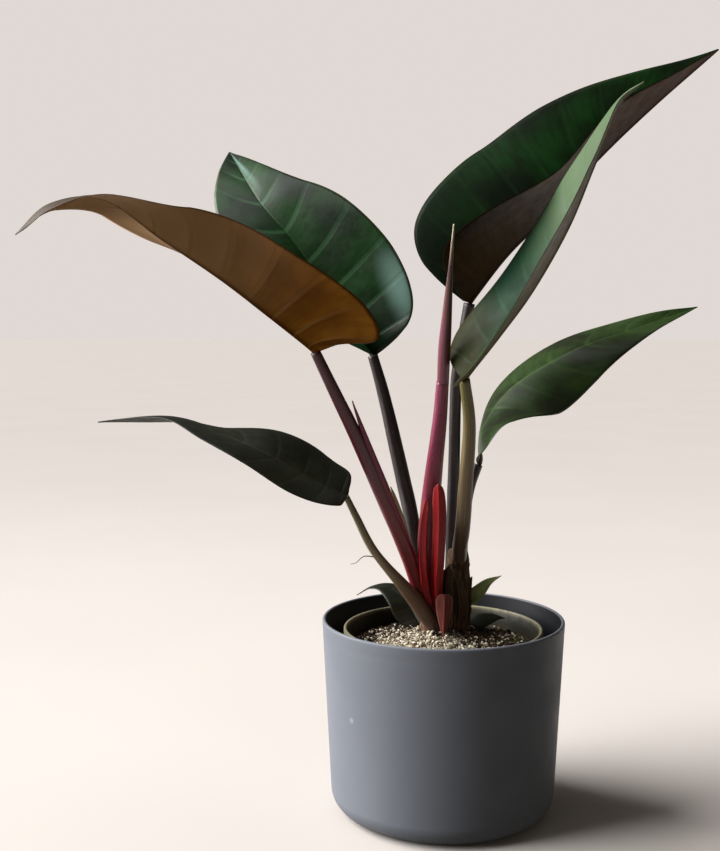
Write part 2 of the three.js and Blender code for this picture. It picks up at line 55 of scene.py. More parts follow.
# %% Smooth runs and routes
ROUTE_STEPS = 400
GLANCE = 0.5


def smooth(keys, t):
    """A smooth run through keys, read at shares t. Between two keys it is the cubic that meets both
    and leaves each with half the step between that key's neighbours (a Catmull-Rom spline)."""
    keys = np.asarray(keys, float)
    flat = keys.reshape(len(keys), -1)
    last = len(keys) - 1
    p = np.vstack([2 * flat[0] - flat[1], flat, 2 * flat[-1] - flat[-2]])
    x = np.clip(np.asarray(t, float), 0, 1) * last
    i = np.minimum(x.astype(int), last - 1)
    f = (x - i)[..., None]
    a, b, c, d = p[i], p[i + 1], p[i + 2], p[i + 3]
    run = b + 0.5 * f * (c - a) + f**2 * (a - 2.5 * b + 2 * c - 0.5 * d)
    run = run + f**3 * (1.5 * b - 0.5 * a - 1.5 * c + 0.5 * d)
    return run.reshape(x.shape + keys.shape[1:])


def unit(vectors):
    """Each vector divided by its own length."""
    return vectors / np.maximum(np.linalg.norm(vectors, axis=-1, keepdims=True), 1e-12)


def measured(points):
    """A route through points in short steps, with the distance walked at each step."""
    steps = smooth(points, np.linspace(0, 1, ROUTE_STEPS + 1))
    walked = np.append(0, np.cumsum(np.linalg.norm(np.diff(steps, axis=0), axis=1)))
    return steps, walked


def place_on(path, s):
    """The point and the direction at distance s along a route. Past an end it runs straight on."""
    steps, walked = path
    inside = np.clip(s, 0, walked[-1])

    def find(x):
        return np.stack([np.interp(x, walked, steps[:, k]) for k in range(3)], -1)

    ahead, behind = np.minimum(inside + GLANCE, walked[-1]), np.maximum(inside - GLANCE, 0)
    direction = unit(find(ahead) - find(behind))
    return find(inside) + direction * (s - inside)[..., None], direction


# %% [markdown]
# ## Skins
# Nearly every piece of a plant and of a round pot is a row of rings with a skin over them: a stalk
# is rings along a route, a pot is rings round an axis, and a leaf is a very flat ring at each place
# along its midrib. One function therefore makes all the meshes. It also lays a UV map over the
# rings, so that a finish can follow the piece from foot to tip.

# %% Skins
def skin(name, rings, finishes, uv=None, segment_finish=None):
    """A closed mesh over rings[row, place], in millimetres: quads between neighbouring rings and a
    fan of triangles over each end. uv[row, place] has one place more, for the closing seam, and is
    an even grid unless it is given. segment_finish[place] says which finish a strip takes. The sum
    of a . (b x c) over the faces has the sign of the volume, and where it is negative, all the
    faces are turned round."""
    rows, count = rings.shape[:2]
    if uv is None:
        uv = np.stack(np.meshgrid(np.linspace(0, 1, count + 1), np.linspace(0, 1, rows)), -1)
    i, k = np.divmod(np.arange((rows - 1) * count), count)
    row = np.stack([i, i, i + 1, i + 1], 1)
    place = np.stack([k, k + 1, k + 1, k], 1)
    ring_ends = rings[[0, -1]].mean(axis=1)
    points = np.vstack([rings.reshape(-1, 3), ring_ends]) * MM
    quads = row * count + place % count
    k = np.arange(count)
    fans, fan_uv = [], []
    for end, centre in ((0, rows * count), (rows - 1, rows * count + 1)):
        pair = [k + 1, k] if end == 0 else [k, k + 1]
        fans.append(np.stack([np.full(count, centre)] + [end * count + p % count for p in pair], 1))
        middle = np.repeat(uv[end].mean(axis=0)[None], count, axis=0)
        fan_uv.append(np.stack([middle] + [uv[end, p] for p in pair], 1))
    fans, fan_uv = np.vstack(fans), np.vstack(fan_uv)
    corner_uv = uv[row, place]
    a, b, c, d = points[quads].swapaxes(0, 1)
    volume = np.einsum("ij,ij->", a, np.cross(b, c)) + np.einsum("ij,ij->", a, np.cross(c, d))
    if volume < 0:
        quads, fans = quads[:, ::-1], fans[:, ::-1]
        corner_uv, fan_uv = corner_uv[:, ::-1], fan_uv[:, ::-1]
    mesh = bpy.data.meshes.new(name)
    mesh.from_pydata(points.tolist(), [], quads.tolist() + fans.tolist())
    layer = mesh.uv_layers.new(name="along")
    layer.uv.foreach_set("vector", np.concatenate([corner_uv.ravel(), fan_uv.ravel()]))
    if segment_finish is not None:
        mesh.polygons.foreach_set("material_index", np.tile(segment_finish, rows + 1).astype(np.int32))
    return shown(name, mesh, finishes)


def shown(name, mesh, finishes):
    """Gives a mesh its finishes and smooth shading, and puts it in the scene as an object."""
    for finish in finishes:
        mesh.materials.append(finish)
    mesh.polygons.foreach_set("use_smooth", np.ones(len(mesh.polygons), bool))
    mesh.update()
    piece = bpy.data.objects.new(name, mesh)
    bpy.context.scene.collection.objects.link(piece)
    return piece


def fit(piece, slot, *nodes):
    """The piece moves with the plant and stands for these solids, which are hidden. The slot is not
    used.
    """
    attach(piece, "root")
    if nodes:
        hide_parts(*nodes)
    print(f"{piece.name}: {len(piece.data.polygons)} faces, stands for {list(nodes)}")


# %% [markdown]
# ## Natural roughness
# Bark, grit and potting mix are never even. A noise texture could fake that in the shader, but bits
# that stand 1 or 2 mm proud change the outline, so the mesh needs them too. Value noise is the
# simplest kind, and a seeded table keeps it the same on every run.

# %% Natural roughness
NOISE_TABLE = np.random.default_rng(7).random(4096)
STRIDES, LAYER_STRIDE = (73, 179, 283), 911


def roughness_at(points, size, layer=0):
    """Smooth random bumps from -1 to 1. Each corner of a lattice of the given size has a random
    number, and a point takes the blend of its eight corners, eased with 3f^2 - 2f^3."""
    p = np.asarray(points, float) / size
    cell = np.floor(p).astype(int)
    f = p - cell
    f = f * f * (3 - 2 * f)
    total = 0
    for corner in range(8):
        step = np.array([corner & 1, corner >> 1 & 1, corner >> 2 & 1])
        key = (cell + step) @ STRIDES + layer * LAYER_STRIDE
        weight = np.prod(np.where(step, f, 1 - f), axis=-1)
        total = total + weight * NOISE_TABLE[key % len(NOISE_TABLE)]
    return 2 * total - 1


# %% [markdown]
# ## Small tools for finishes
# A finish is a tree of shader nodes. These helpers add one node each and return its output, so that
# a finish reads like a recipe: take a noise, put it through a ramp, mix two colours, raise a bump.

# %% Small tools for finishes
def linear(colour):
    """A colour such as #62666f as the linear numbers that a shader works in."""
    parts = [int(colour[i : i + 2], 16) / 255 for i in (1, 3, 5)]
    return [p / 12.92 if p < 0.04045 else ((p + 0.055) / 1.055) ** 2.4 for p in parts] + [1]


class Recipe:
    """One finish being put together. Its colour is built up in layers."""

    def __init__(self, name, roughness, specular=0.5, coat=0.0):
        self.material = bpy.data.materials.new(name)
        self.material.use_nodes = True
        self.tree = self.material.node_tree
        self.sockets = self.tree.nodes["Principled BSDF"].inputs
        self.sockets["Roughness"].default_value = roughness
        self.sockets["Specular IOR Level"].default_value = specular
        self.sockets["Coat Weight"].default_value = coat
        self.sockets["Coat Roughness"].default_value = 0.3
        self.colour = None

    def add(self, kind, values=(), **settings):
        """Adds a node. Values are sockets to link or plain values, keyed by the input's name."""
        made = self.tree.nodes.new(kind)
        for key, value in settings.items():
            setattr(made, key, value)
        for key, value in dict(values).items():
            if isinstance(value, bpy.types.NodeSocket):
                self.tree.links.new(value, made.inputs[key])
            else:
                made.inputs[key].default_value = value
        return made

    def calc(self, how, a, b=0.0):
        """Two numbers put together."""
        return self.add("ShaderNodeMath", {0: a, 1: b}, operation=how).outputs[0]

    def place(self):
        """Where a point is on the piece, in metres from the object's origin."""
        return self.add("ShaderNodeTexCoord").outputs["Object"]

    def along(self):
        """The piece's own UV map, as two numbers: across or round it, and along it."""
        return self.axes(self.add("ShaderNodeUVMap", uv_map="along").outputs[0])[:2]

    def axes(self, vector):
        """The separate numbers of a vector."""
        return self.add("ShaderNodeSeparateXYZ", {0: vector}).outputs

    def pair(self, a, b):
        """Two numbers as the coordinates of a flat pattern."""
        return self.add("ShaderNodeCombineXYZ", {0: a, 1: b}).outputs[0]

    def away(self, vector, point=(0, 0, 0)):
        """The distance from a point."""
        values = {0: vector, 1: point}
        return self.add("ShaderNodeVectorMath", values, operation="DISTANCE").outputs["Value"]

    def off_middle(self):
        """How far a place is from its piece's middle line: 0 on it, 0.5 at either edge."""
        return self.calc("ABSOLUTE", self.calc("SUBTRACT", self.along()[0], 0.5))

    def stretched(self, vector, scale):
        """The same coordinates, scaled on each axis."""
        return self.add("ShaderNodeMapping", {"Vector": vector, "Scale": scale}).outputs[0]

    def noise(self, vector, scale, detail=3.0, roughness=0.5):
        """Soft cloudy noise from 0 to 1."""
        values = {"Vector": vector, "Scale": scale, "Detail": detail, "Roughness": roughness}
        return self.add("ShaderNodeTexNoise", values).outputs[0]

    def streaks(self, across, along, detail=4):
        """Noise drawn out in lines on the UV map, by its scales across or round it and along it."""
        place = self.stretched(self.pair(*self.along()), (across, along, 1))
        return self.noise(place, 1, detail, 0.6)

    def ramp(self, value, stops):
        """Numbers turned into colours, by (place, colour) stops."""
        node = self.add("ShaderNodeValToRGB", {0: value})
        edge = node.color_ramp.elements
        while len(edge) < len(stops):
            edge.new(0.5)
        for element, (position, colour) in zip(edge, stops):
            element.position = position
            element.color = linear(colour)
        return node.outputs[0]

    def between(self, value, low, high, to_low=0.0, to_high=1.0):
        """A soft step: to_low below low, to_high above high, and eased in between."""
        values = {0: value, 1: low, 2: high, 3: to_low, 4: to_high}
        return self.add("ShaderNodeMapRange", values, interpolation_type="SMOOTHSTEP").outputs[0]

    def mix(self, share, a, b):
        """Two colours put together."""
        a, b = (linear(c) if isinstance(c, str) else c for c in (a, b))
        return self.add("ShaderNodeMix", {0: share, 6: a, 7: b}, data_type="RGBA").outputs[2]

    def over(self, colour, value, *step):
        """Lays a colour over the ones so far. A soft step of a value gives its share."""
        self.colour = self.mix(self.between(value, *step), self.colour, colour)

    def relief(self, height, distance, strength, under=None):
        """Fine relief that is too small for the mesh: the height in metres is distance times value."""
        values = {"Height": height, "Distance": distance, "Strength": strength}
        if under is not None:
            values["Normal"] = under
        return self.add("ShaderNodeBump", values).outputs[0]

    def done(self, normal=None, roughness=None):
        """Joins the recipe to the shader."""
        for key, value in (("Base Color", self.colour), ("Normal", normal), ("Roughness", roughness)):
            if value is not None:
                self.tree.links.new(value, self.sockets[key])
        return self.material


# %% [markdown]
# ## The planter
# The outer pot is one moulded shell with a matte skin: a flat foot, a round lower edge, a slightly
# tapered wall and a soft rim. It could be a cylinder with bevels, but a turned profile gives every
# radius exactly. A faint shoulder runs just under the rim, where the mould closes, and the skin has
# fine spark-grain, a few scuffs and one small pale knock.

# %% The planter's finish
RIM_SHARE = 0.83
PALE_KNOCK = (-0.0642, -0.0514, 0.0785)


def planter_finish():
    """Matte moulded plastic: an even blue-grey with slow drift in tone, pale scuffs and fine grain,
    and painted shade darkening the foot. Past the rim's share of the profile it is the inside, in
    painted shade that is nearly black."""
    r = Recipe("planter_plastic", 0.56, specular=0.3)
    place = r.place()
    r.colour = r.mix(r.noise(place, 14, 2), "#686d76", "#757982")
    scuffs = r.noise(r.stretched(place, (60, 60, 190)), 1.6, 5, 0.7)
    r.over("#9a9ba0", scuffs, 0.66, 0.8, 0, 0.28)
    r.over("#b4b6ba", r.away(place, PALE_KNOCK), 0.001, 0.0026, 0.35, 0)
    # Painted shade: the foot darkens where the pot meets the floor.
    r.over("#3c3a38", r.axes(place)[2], 0.0005, 0.006, 0.35, 0)
    # Painted shade: the inside, past the rim, is painted nearly black.
    r.over("#111319", r.along()[1], RIM_SHARE, RIM_SHARE + 0.02)
    soft = r.relief(r.noise(place, 90, 2), 0.0004, 0.35)
    normal = r.relief(r.noise(place, 2600, 2, 0.6), 0.00006, 0.5, soft)
    return r.done(normal, r.between(r.noise(place, 35, 3), 0.3, 0.7, 0.5, 0.62))


# %% The planter's shape
PLANTER_HEIGHT, RIM_RADIUS, FOOT_RADIUS, EDGE_RADIUS = 136, 85, 79, 15.7
PLANTER_WALL, PLANTER_FLOOR, RIM_ROUND = 2.6, 4, 1.3
SHOULDER_HEIGHT, SHOULDER_DEPTH, SHOULDER_WIDTH = 127.2, 0.16, 0.9


def arc(centre, radius, start, end, steps):
    """Points on a circle from one angle to another, in degrees from the outward direction."""
    angle = np.radians(np.linspace(start, end, steps))
    return np.stack([centre[0] + radius * np.cos(angle), centre[1] + radius * np.sin(angle)], 1)


def circle(radius, height, sides):
    """Even points round the vertical axis. A column of radii and one of heights make a ring each."""
    turn = np.arange(sides) / sides * 2 * np.pi
    return np.stack(np.broadcast_arrays(radius * np.cos(turn), radius * np.sin(turn), height), -1)


def turned(name, profile, finish, sides=160):
    """A profile of (radius, height) carried once round the vertical axis."""
    return skin(name, circle(profile[:, :1], profile[:, 1:], sides), [finish])


def planter_profile():
    """Foot, round lower edge, straight wall with a faint shoulder, half-round rim, then back down."""
    flat = FOOT_RADIUS - EDGE_RADIUS
    outer_edge = arc((flat, EDGE_RADIUS), EDGE_RADIUS, -90, 0, 20)
    top = PLANTER_HEIGHT - RIM_ROUND
    rise = np.linspace(EDGE_RADIUS, top, 60)[1:-1]
    wall = FOOT_RADIUS + (RIM_RADIUS - FOOT_RADIUS) * (rise - EDGE_RADIUS) / (top - EDGE_RADIUS)
    shoulder = -SHOULDER_DEPTH * np.exp(-(((rise - SHOULDER_HEIGHT) / SHOULDER_WIDTH) ** 2))
    outside = np.stack([wall + shoulder, rise], 1)
    rim = arc((RIM_RADIUS - RIM_ROUND, top), RIM_ROUND, 0, 180, 13)
    inner = EDGE_RADIUS - PLANTER_WALL
    inner_edge = arc((flat, PLANTER_FLOOR + inner), inner, 0, -90, 14)
    foot = [[0.5, 0], [flat * 0.6, 0]]
    return np.vstack([foot, outer_edge, outside, rim, inner_edge, [[0.5, PLANTER_FLOOR]]])


fit(turned("planter_shell", planter_profile(), planter_finish()), "planter_plastic", "planter")

# %% [markdown]
# ## The nursery pot
# The plant was bought in a thin grower's pot, which stands loose inside the planter. Only its
# rolled khaki rim and a little of the inner wall show. The plastic is cheap and slightly shiny, and
# it is dusty with dried mix and a trace of algae.

# %% The nursery pot
NURSERY_HEIGHT, NURSERY_RIM, NURSERY_FOOT, NURSERY_WALL = 125, 70, 58, 1.2
NURSERY_BASE, NURSERY_FLOOR, BAND_STEP, LIP_ROUND = 4.3, 2, 2.2, 1.1
NURSERY_TOP = NURSERY_BASE + NURSERY_HEIGHT
MOUTH_SHARE = 0.6


def nursery_finish():
    """Khaki plastic, dusty, with green algae creeping over it, and in deep shade inside."""
    r = Recipe("nursery_plastic", 0.6, specular=0.2)
    place = r.place()
    r.colour = r.mix(r.noise(place, 40, 4), "#7c7663", "#a09a84")
    dust = r.between(r.noise(place, 160, 5, 0.65), 0.5, 0.7)
    r.colour = r.mix(r.calc("MULTIPLY", dust, 0.45), r.colour, "#5a5040")
    r.over("#5f6238", r.noise(place, 28, 3), 0.48, 0.66, 0, 0.55)
    r.over("#171509", r.along()[1], MOUTH_SHARE, MOUTH_SHARE + 0.04, 0, 0.95)
    normal = r.relief(r.noise(place, 420, 3), 0.0002, 0.5)
    return r.done(normal, r.between(dust, 0, 1, 0.55, 0.8))


def nursery_inner(z):
    """The inside radius of the tapered wall at height z."""
    share = (z - NURSERY_BASE) / NURSERY_HEIGHT
    return NURSERY_FOOT + (NURSERY_RIM - BAND_STEP - NURSERY_FOOT) * share - NURSERY_WALL


def nursery_profile():
    """Foot, tapered wall, then a band with a rolled lip, and back down the inside."""
    outside = [[0.5, NURSERY_BASE], [NURSERY_FOOT - 4, NURSERY_BASE]]
    wall = np.linspace(NURSERY_BASE + 4, NURSERY_TOP - 12, 20)
    outside += [[nursery_inner(z) + NURSERY_WALL, z] for z in wall]
    outside += [[NURSERY_RIM - 0.8, NURSERY_TOP - 11], [NURSERY_RIM - 0.1, NURSERY_TOP - 10]]
    outside += [[NURSERY_RIM, NURSERY_TOP - 8], [NURSERY_RIM, NURSERY_TOP - LIP_ROUND]]
    lip = arc((NURSERY_RIM - LIP_ROUND, NURSERY_TOP - LIP_ROUND), LIP_ROUND, 0, 180, 11)
    inside = [[nursery_inner(z), z] for z in np.linspace(NURSERY_TOP - 3, NURSERY_BASE + 5, 20)]
    floor_height = NURSERY_BASE + NURSERY_FLOOR
    inside += [[NURSERY_FOOT - 5, floor_height], [0.5, floor_height]]
    return np.vstack([outside, lip, inside])


nursery_pot = turned("nursery_pot_shell", nursery_profile(), nursery_finish())
fit(nursery_pot, "nursery_plastic", "nursery_pot")

# %% [markdown]
# ## The potting mix
# The mix is a low mound with the stem in it. Its surface is a height field in rings, so it meets
# the round pot cleanly. Loose grains then lie on it: pale pumice and perlite to the left and in
# front, and dark bark chips mostly elsewhere. Each grain is a jittered twenty-sided lump, which is
# all that shows of something 2 mm wide, and the tone of each is kept on its mesh for the finish.

# %% The mix's finish
GRIT_MIDDLE = (-0.018, -0.024, 0.12)


def mix_finish():
    """Dark moist peat with lighter fibres, pale dust under the grit, and moss on the right, where
    it stays damp."""
    r = Recipe("potting_mix", 0.93, specular=0.25)
    place = r.place()
    fibres = r.noise(place, 210, 6, 0.7)
    r.colour = r.ramp(fibres, [(0.3, "#17110c"), (0.5, "#33271c"), (0.72, "#6d5c46")])
    r.over("#9c8f77", r.away(place, GRIT_MIDDLE), 0.02, 0.045, 0.8, 0)
    damp = r.between(r.axes(place)[0], 0.02, 0.055)
    moss = r.calc("MULTIPLY", damp, r.between(r.noise(place, 60, 4), 0.42, 0.6))
    r.colour = r.mix(r.calc("MULTIPLY", moss, 0.75), r.colour, "#4c4a1e")
    return r.done(r.relief(r.noise(place, 520, 6, 0.7), 0.0012, 0.9))


def grain_finish(name, stops, roughness):
    """Stones or chips: a ramp picks each one's colour by its tone, and fine pits break the light."""
    r = Recipe(name, roughness, specular=0.35)
    tone = r.add("ShaderNodeAttribute", attribute_name="tone").outputs["Fac"]
    pits = r.noise(r.place(), 900, 4, 0.65)
    r.colour = r.ramp(tone, stops)
    r.over("#2b2219", pits, 0.35, 0.6, 0.35, 0)
    return r.done(r.relief(pits, 0.0004, 0.8))


# %% The mix's shape
CROWN, MOUND_SPREAD = (0, 14), (42, 38)
MIX_EDGE, MIX_MOUND, GRIT_HEIGHT, MIX_CLEARANCE = 116, 124, 3.0, 0.4


def wobble(x, y):
    """Repeatable bumps: the mean of four sines that bend each other."""
    first = np.sin(0.41 * x + 1.3 * np.sin(0.29 * y)) + np.sin(0.37 * y + 1.7 * np.sin(0.33 * x))
    return (first + np.sin(0.83 * x - 0.61 * y) + np.sin(0.57 * x + 0.92 * y)) / 4


def mix_height(x, y):
    """The mound: a bell shape round the crown, with bumps that fade at the pot and on the right."""
    across, deep = (x - CROWN[0]) / MOUND_SPREAD[0], (y - CROWN[1]) / MOUND_SPREAD[1]
    bell = np.exp(-(across**2) - deep**2)
    gritty = 1 / (1 + np.exp((x - 30) / 8))
    edge = np.clip((64 - np.hypot(x, y)) / 8, 0, 1)
    bumps = edge * GRIT_HEIGHT * (0.35 + 0.65 * gritty) * wobble(1.7 * x, 1.7 * y)
    return MIX_EDGE + (MIX_MOUND - MIX_EDGE) * bell + bumps


def mix_rings(sides=150, rows=64):
    """Rings from the middle out to the wall of the pot, then down it."""
    wall = nursery_inner(MIX_EDGE) - MIX_CLEARANCE
    radius = np.linspace(0.6, wall, rows)[:, None]
    points = circle(radius, 0, sides)
    points[..., 2] = mix_height(points[..., 0], points[..., 1]) - 0.5
    fine = roughness_at(points, 2.2, 1) * 0.7 + roughness_at(points, 5.0, 2) * 0.8
    points[..., 2] += fine * np.clip((wall - radius) / 6, 0, 1)
    height = np.array([[MIX_EDGE - 4], [NURSERY_BASE + 6]])
    down = circle(nursery_inner(height) - MIX_CLEARANCE, height, sides)
    return np.concatenate([points, down])


fit(skin("mix_surface", mix_rings(), [mix_finish()]), "potting_mix", "potting_mix")

# %% Loose grains on the mix
# The golden ratio G places the twelve corners of an even twenty-sided lump.
G = (1 + 5**0.5) / 2
LUMP = unit(np.array([[-1, G, 0], [1, G, 0], [-1, -G, 0], [1, -G, 0], [0, -1, G], [0, 1, G],
                      [0, -1, -G], [0, 1, -G], [G, 0, -1], [G, 0, 1], [-G, 0, -1], [-G, 0, 1]]))
LUMP_FACES = np.array([
    [0, 11, 5], [0, 5, 1], [0, 1, 7], [0, 7, 10], [0, 10, 11], [1, 5, 9], [5, 11, 4], [11, 10, 2],
    [10, 7, 6], [7, 1, 8], [3, 9, 4], [3, 4, 2], [3, 2, 6], [3, 6, 8], [3, 8, 9], [4, 9, 5],
    [2, 4, 11], [6, 2, 10], [8, 6, 7], [9, 8, 1]])
GRIT_REACH = 62


def scatter(name, count, sizes, shape, density, sink, finish, seed):
    """Grains lying on the mix. Places are drawn over the pot and kept by a density, then each copy
    of the lump is jittered, stretched and set a little into the surface. Half of them are turned
    any way up, and half only round the upright axis, so that flat ones lie flat."""
    rng = np.random.default_rng(seed)
    x, y = rng.uniform(-GRIT_REACH, GRIT_REACH, (count * 14, 2)).T
    keep = (np.hypot(x, y) < GRIT_REACH) & (rng.random(len(x)) < density(x, y))
    x, y = x[keep][:count], y[keep][:count]
    number = len(x)
    size = sizes[0] + (sizes[1] - sizes[0]) * rng.random(number) ** 1.8
    form = LUMP * (1 + rng.uniform(-0.28, 0.28, (number, len(LUMP), 1)))
    form = form * (np.asarray(shape) * rng.uniform(0.7, 1.2, (number, 1, 3)))
    turn = np.linalg.qr(rng.normal(size=(number, 3, 3)))[0]
    turn = turn * np.sign(np.linalg.det(turn))[:, None, None]
    flat = np.tile(np.eye(3), (number, 1, 1))
    angle = rng.uniform(0, 2 * np.pi, number)
    flat[:, 0, 0], flat[:, 0, 1] = np.cos(angle), -np.sin(angle)
    flat[:, 1, 0], flat[:, 1, 1] = np.sin(angle), np.cos(angle)
    turn = np.where((rng.random(number) < 0.5)[:, None, None], turn, flat)
    form = np.einsum("nij,nkj->nki", turn, form) * size[:, None, None] / 2
    centre = np.stack([x, y, mix_height(x, y) - sink * size], -1)
    points = (form + centre[:, None]).reshape(-1, 3) * MM
    faces = (LUMP_FACES + len(LUMP) * np.arange(number)[:, None, None]).reshape(-1, 3)
    mesh = bpy.data.meshes.new(name)
    mesh.from_pydata(points.tolist(), [], faces.tolist())
    tone = mesh.attributes.new("tone", "FLOAT", "POINT")
    tone.data.foreach_set("value", np.repeat(rng.random(number), len(LUMP)))
    piece = shown(name, mesh, [finish])
    mesh.polygons.foreach_set("use_smooth", np.zeros(len(mesh.polygons), bool))
    return piece


def pale_places(x, y):
    """Pale grit lies thick on the left and in front of the stem, and thins out to the right."""
    left = np.exp(-(((x + 26) / 22) ** 2) - ((y + 18) / 30) ** 2)
    front = np.exp(-(((x - 12) / 22) ** 2) - ((y + 38) / 18) ** 2)
    return np.clip(1.6 * left + 1.3 * front + 0.05, 0, 1)


def dark_places(x, y):
    """Bark lies everywhere, least where the pale grit is thick."""
    return 0.6 - 0.45 * pale_places(x, y)


PALE_STONE = [(0, "#94876f"), (0.2, "#c4b79e"), (0.5, "#e2d9c5"), (1, "#f6f0e2")]
DARK_CHIP = [(0, "#120c08"), (0.5, "#2e1f14"), (0.85, "#5c4530"), (1, "#8a7658")]
pumice, chip = grain_finish("pumice", PALE_STONE, 0.85), grain_finish("bark_chips", DARK_CHIP, 0.8)
grit = scatter("pumice_grit", 3800, (0.9, 3.0), (1, 1, 0.8), pale_places, 0.05, pumice, 11)
chips = scatter("bark_chips", 1000, (1.2, 5.0), (1.5, 0.7, 0.4), dark_places, 0.2, chip, 12)
fit(grit, "potting_mix")
fit(chips, "potting_mix")

# %% [markdown]
# ## Stalks
# Each leaf stands on a long fleshy stalk (a petiole). A stalk is thickest at the foot, where it
# clasps the stem, slightly grooved along its upper side, and swells a little under the blade.
# Its colour runs along its length and in fine streaks, so the finish reads the UV map: one number
# round the stalk and one along it.

# %% The stalks' finish
def stalk_finish(name, stops, streak, roughness=0.38, pale=0.12):
    """Waxy skin: a ramp from foot to top, darker and paler streaks lengthways, tiny pale flecks."""
    r = Recipe(name, roughness, specular=0.4, coat=0.12)
    lines, fine = r.streaks(26, 2.2), r.streaks(90, 7, 3)
    r.colour = r.ramp(r.along()[1], stops)
    r.over(streak, lines, 0.38, 0.62, 0, 0.5)
    r.over("#a98d7c", fine, 0.45, 0.75, 0, pale)
    r.over("#b99a84", r.noise(r.place(), 520, 3), 0.66, 0.74, 0, 0.2)
    normal = r.relief(lines, 0.0006, 0.5, r.relief(fine, 0.0003, 0.5))
    return r.done(normal, r.between(lines, 0.3, 0.7, roughness - 0.06, roughness + 0.12))


STALK_COLOURS = {
    "stalk_burgundy": ([(0, "#962028"), (0.3, "#86242a"), (0.55, "#54101e"), (1, "#300814")], "#460a18"),
    "spear_burgundy": ([(0, "#9c1226"), (0.4, "#901438"), (0.75, "#821c44"), (1, "#93405e")], "#640a28",
                       0.34, 0.15),
    "stalk_dark": ([(0, "#241012"), (0.4, "#120a0c"), (1, "#1c0c12")], "#0c0607", 0.36),
    "stalk_olive": ([(0, "#4e3b2e"), (0.35, "#826f52"), (0.8, "#7c7042"), (1, "#6e6e32")], "#543f2a",
                    0.42),
    "stalk_brown": ([(0, "#4c2e20"), (0.3, "#6c4e3a"), (0.6, "#9c8a6c"), (1, "#706a46")], "#3e2c20",
                    0.5),
}
STALK_FINISH = {name: stalk_finish(name, *colours) for name, colours in STALK_COLOURS.items()}

# %% Stalk shapes
def stalk(name, points, radii, finish, rings=90, sides=36, groove=0.1, rough=0.12, step=None):
    """Rings along a route. The radius follows a smooth run, less a shallow groove along one side
    and with slight lengthways ridges; "step" makes the radius grow once round, as a rolled sheet."""
    path = measured(points)
    length = path[1][-1]
    share = np.linspace(0, 1, rings)
    centre, forward = place_on(path, share * length)
    side = unit(np.cross(np.cross(forward, [1.0, 0.0, 0.0]), forward))
    other = np.cross(forward, side)
    turn = np.arange(sides) / sides
    angle = 2 * np.pi * turn
    around = np.abs((turn - 0.25) % 1 - 0.5)
    shape = 1 - groove * np.exp(-((around / 0.07) ** 2)) * np.sin(np.pi * share[:, None]) ** 0.5
    if step is not None:
        shape = step[0] + step[1] * turn
    radius = smooth(radii, share)[:, None] * shape
    tube = np.broadcast_arrays(6 * np.cos(angle), 6 * np.sin(angle), share[:, None] * length / 9)
    ridges = roughness_at(np.stack(tube, -1), 1.7, 3)
    radius = radius + rough * ridges * np.minimum(radius, 4) / 4
    spread = np.cos(angle)[..., None] * side[:, None] + np.sin(angle)[..., None] * other[:, None]
    rows = centre[:, None] + radius[..., None] * spread
    return skin(name, rows, [finish])


PETIOLES = {
    "left_front": ([[-4, 10, 132], [-14, 5, 150], [-26, -3, 184], [-42, -12, 222], [-60, -25, 264],
                    [-76, -34, 298], [-88, -38.8, 323.6]], [5.6, 5.4, 4.8, 3.4], "stalk_burgundy"),
    "left_back": ([[-6, 16, 132], [-13, 21, 150], [-21, 36, 201], [-27, 44, 229], [-40, 54, 286],
                   [-49, 57.8, 318.8]], [5.6, 5.6, 5.2, 3.8], "stalk_dark"),
    "right_back": ([[5, 18, 132], [7, 22, 160], [8, 23, 204], [9, 23, 245], [10, 22, 299],
                    [14, 22, 327], [19, 22, 356.6]], [4.5, 4.3, 4.1, 4], "stalk_dark"),
    "right_front": ([[12, 13, 172], [12, 6, 184], [13, -6, 202], [14, -16, 233], [15, -28, 274],
                     [10.5, -40, 305.6]], [5.4, 5.2, 4.6, 3.6], "stalk_olive"),
    "right_low": ([[13, 21, 134], [14, 25, 152], [15.5, 26.5, 175], [17, 26.5, 201], [21, 27, 224],
                   [27, 29, 240.8]], [4, 3.9, 3.7, 3.2], "stalk_dark"),
    "left_low": ([[-2, 10, 126], [-9, 5, 133], [-19, -2, 148], [-30, -8, 162], [-49, -13, 186],
                  [-61, -17, 210], [-68, -20, 224.8]], [6, 5.6, 3.4, 2.8, 2.1], "stalk_brown"),
}
for key, (points, radii, slot) in PETIOLES.items():
    fit(stalk(f"stalk_{key}", points, radii, STALK_FINISH[slot]), slot, f"petiole_{key}")

# %% [markdown]
# ## The sheath and the dried thread
# The left front stalk carries a thin wing down one side, the old sheath of the leaf inside it,
# which ends in a small free point. The low left stalk has a hair-thin dried thread hanging off it.
# Both are thin stalks on their own routes.

# %% The sheath and the dried thread
SHEATH = [[-6, 8, 134], [-16, 1, 156], [-25, -6, 190], [-37.5, -13.5, 222], [-52, -24, 258],
          [-62, -33, 286], [-63.5, -35, 291]]
sheath = stalk("sheath_left_front", SHEATH, [1.8, 1.8, 2.0, 2.2, 2.4, 2.0, 0.4],
               STALK_FINISH["spear_burgundy"], rings=70, sides=20, groove=0)
fit(sheath, "stalk_burgundy")
THREAD = [[-43.5, -12, 179], [-49, -13, 181.5], [-56, -14, 182], [-61, -15, 178], [-65, -16, 177]]
thread = stalk("dried_hair", THREAD, [0.5, 0.4, 0.3, 0.15], STALK_FINISH["stalk_brown"],
               rings=40, sides=8, groove=0, rough=0.3)
fit(thread, "stalk_brown", "dried_thread")

# %% [markdown]
# ## The rolled new leaf
# The newest leaf is still a spear: a burgundy stalk below, and above it the blade wound round
# itself, from pink over brown to cream. The wound edge shows as a line down the roll, so the radius
# grows once round and steps back where the edge lies on top.

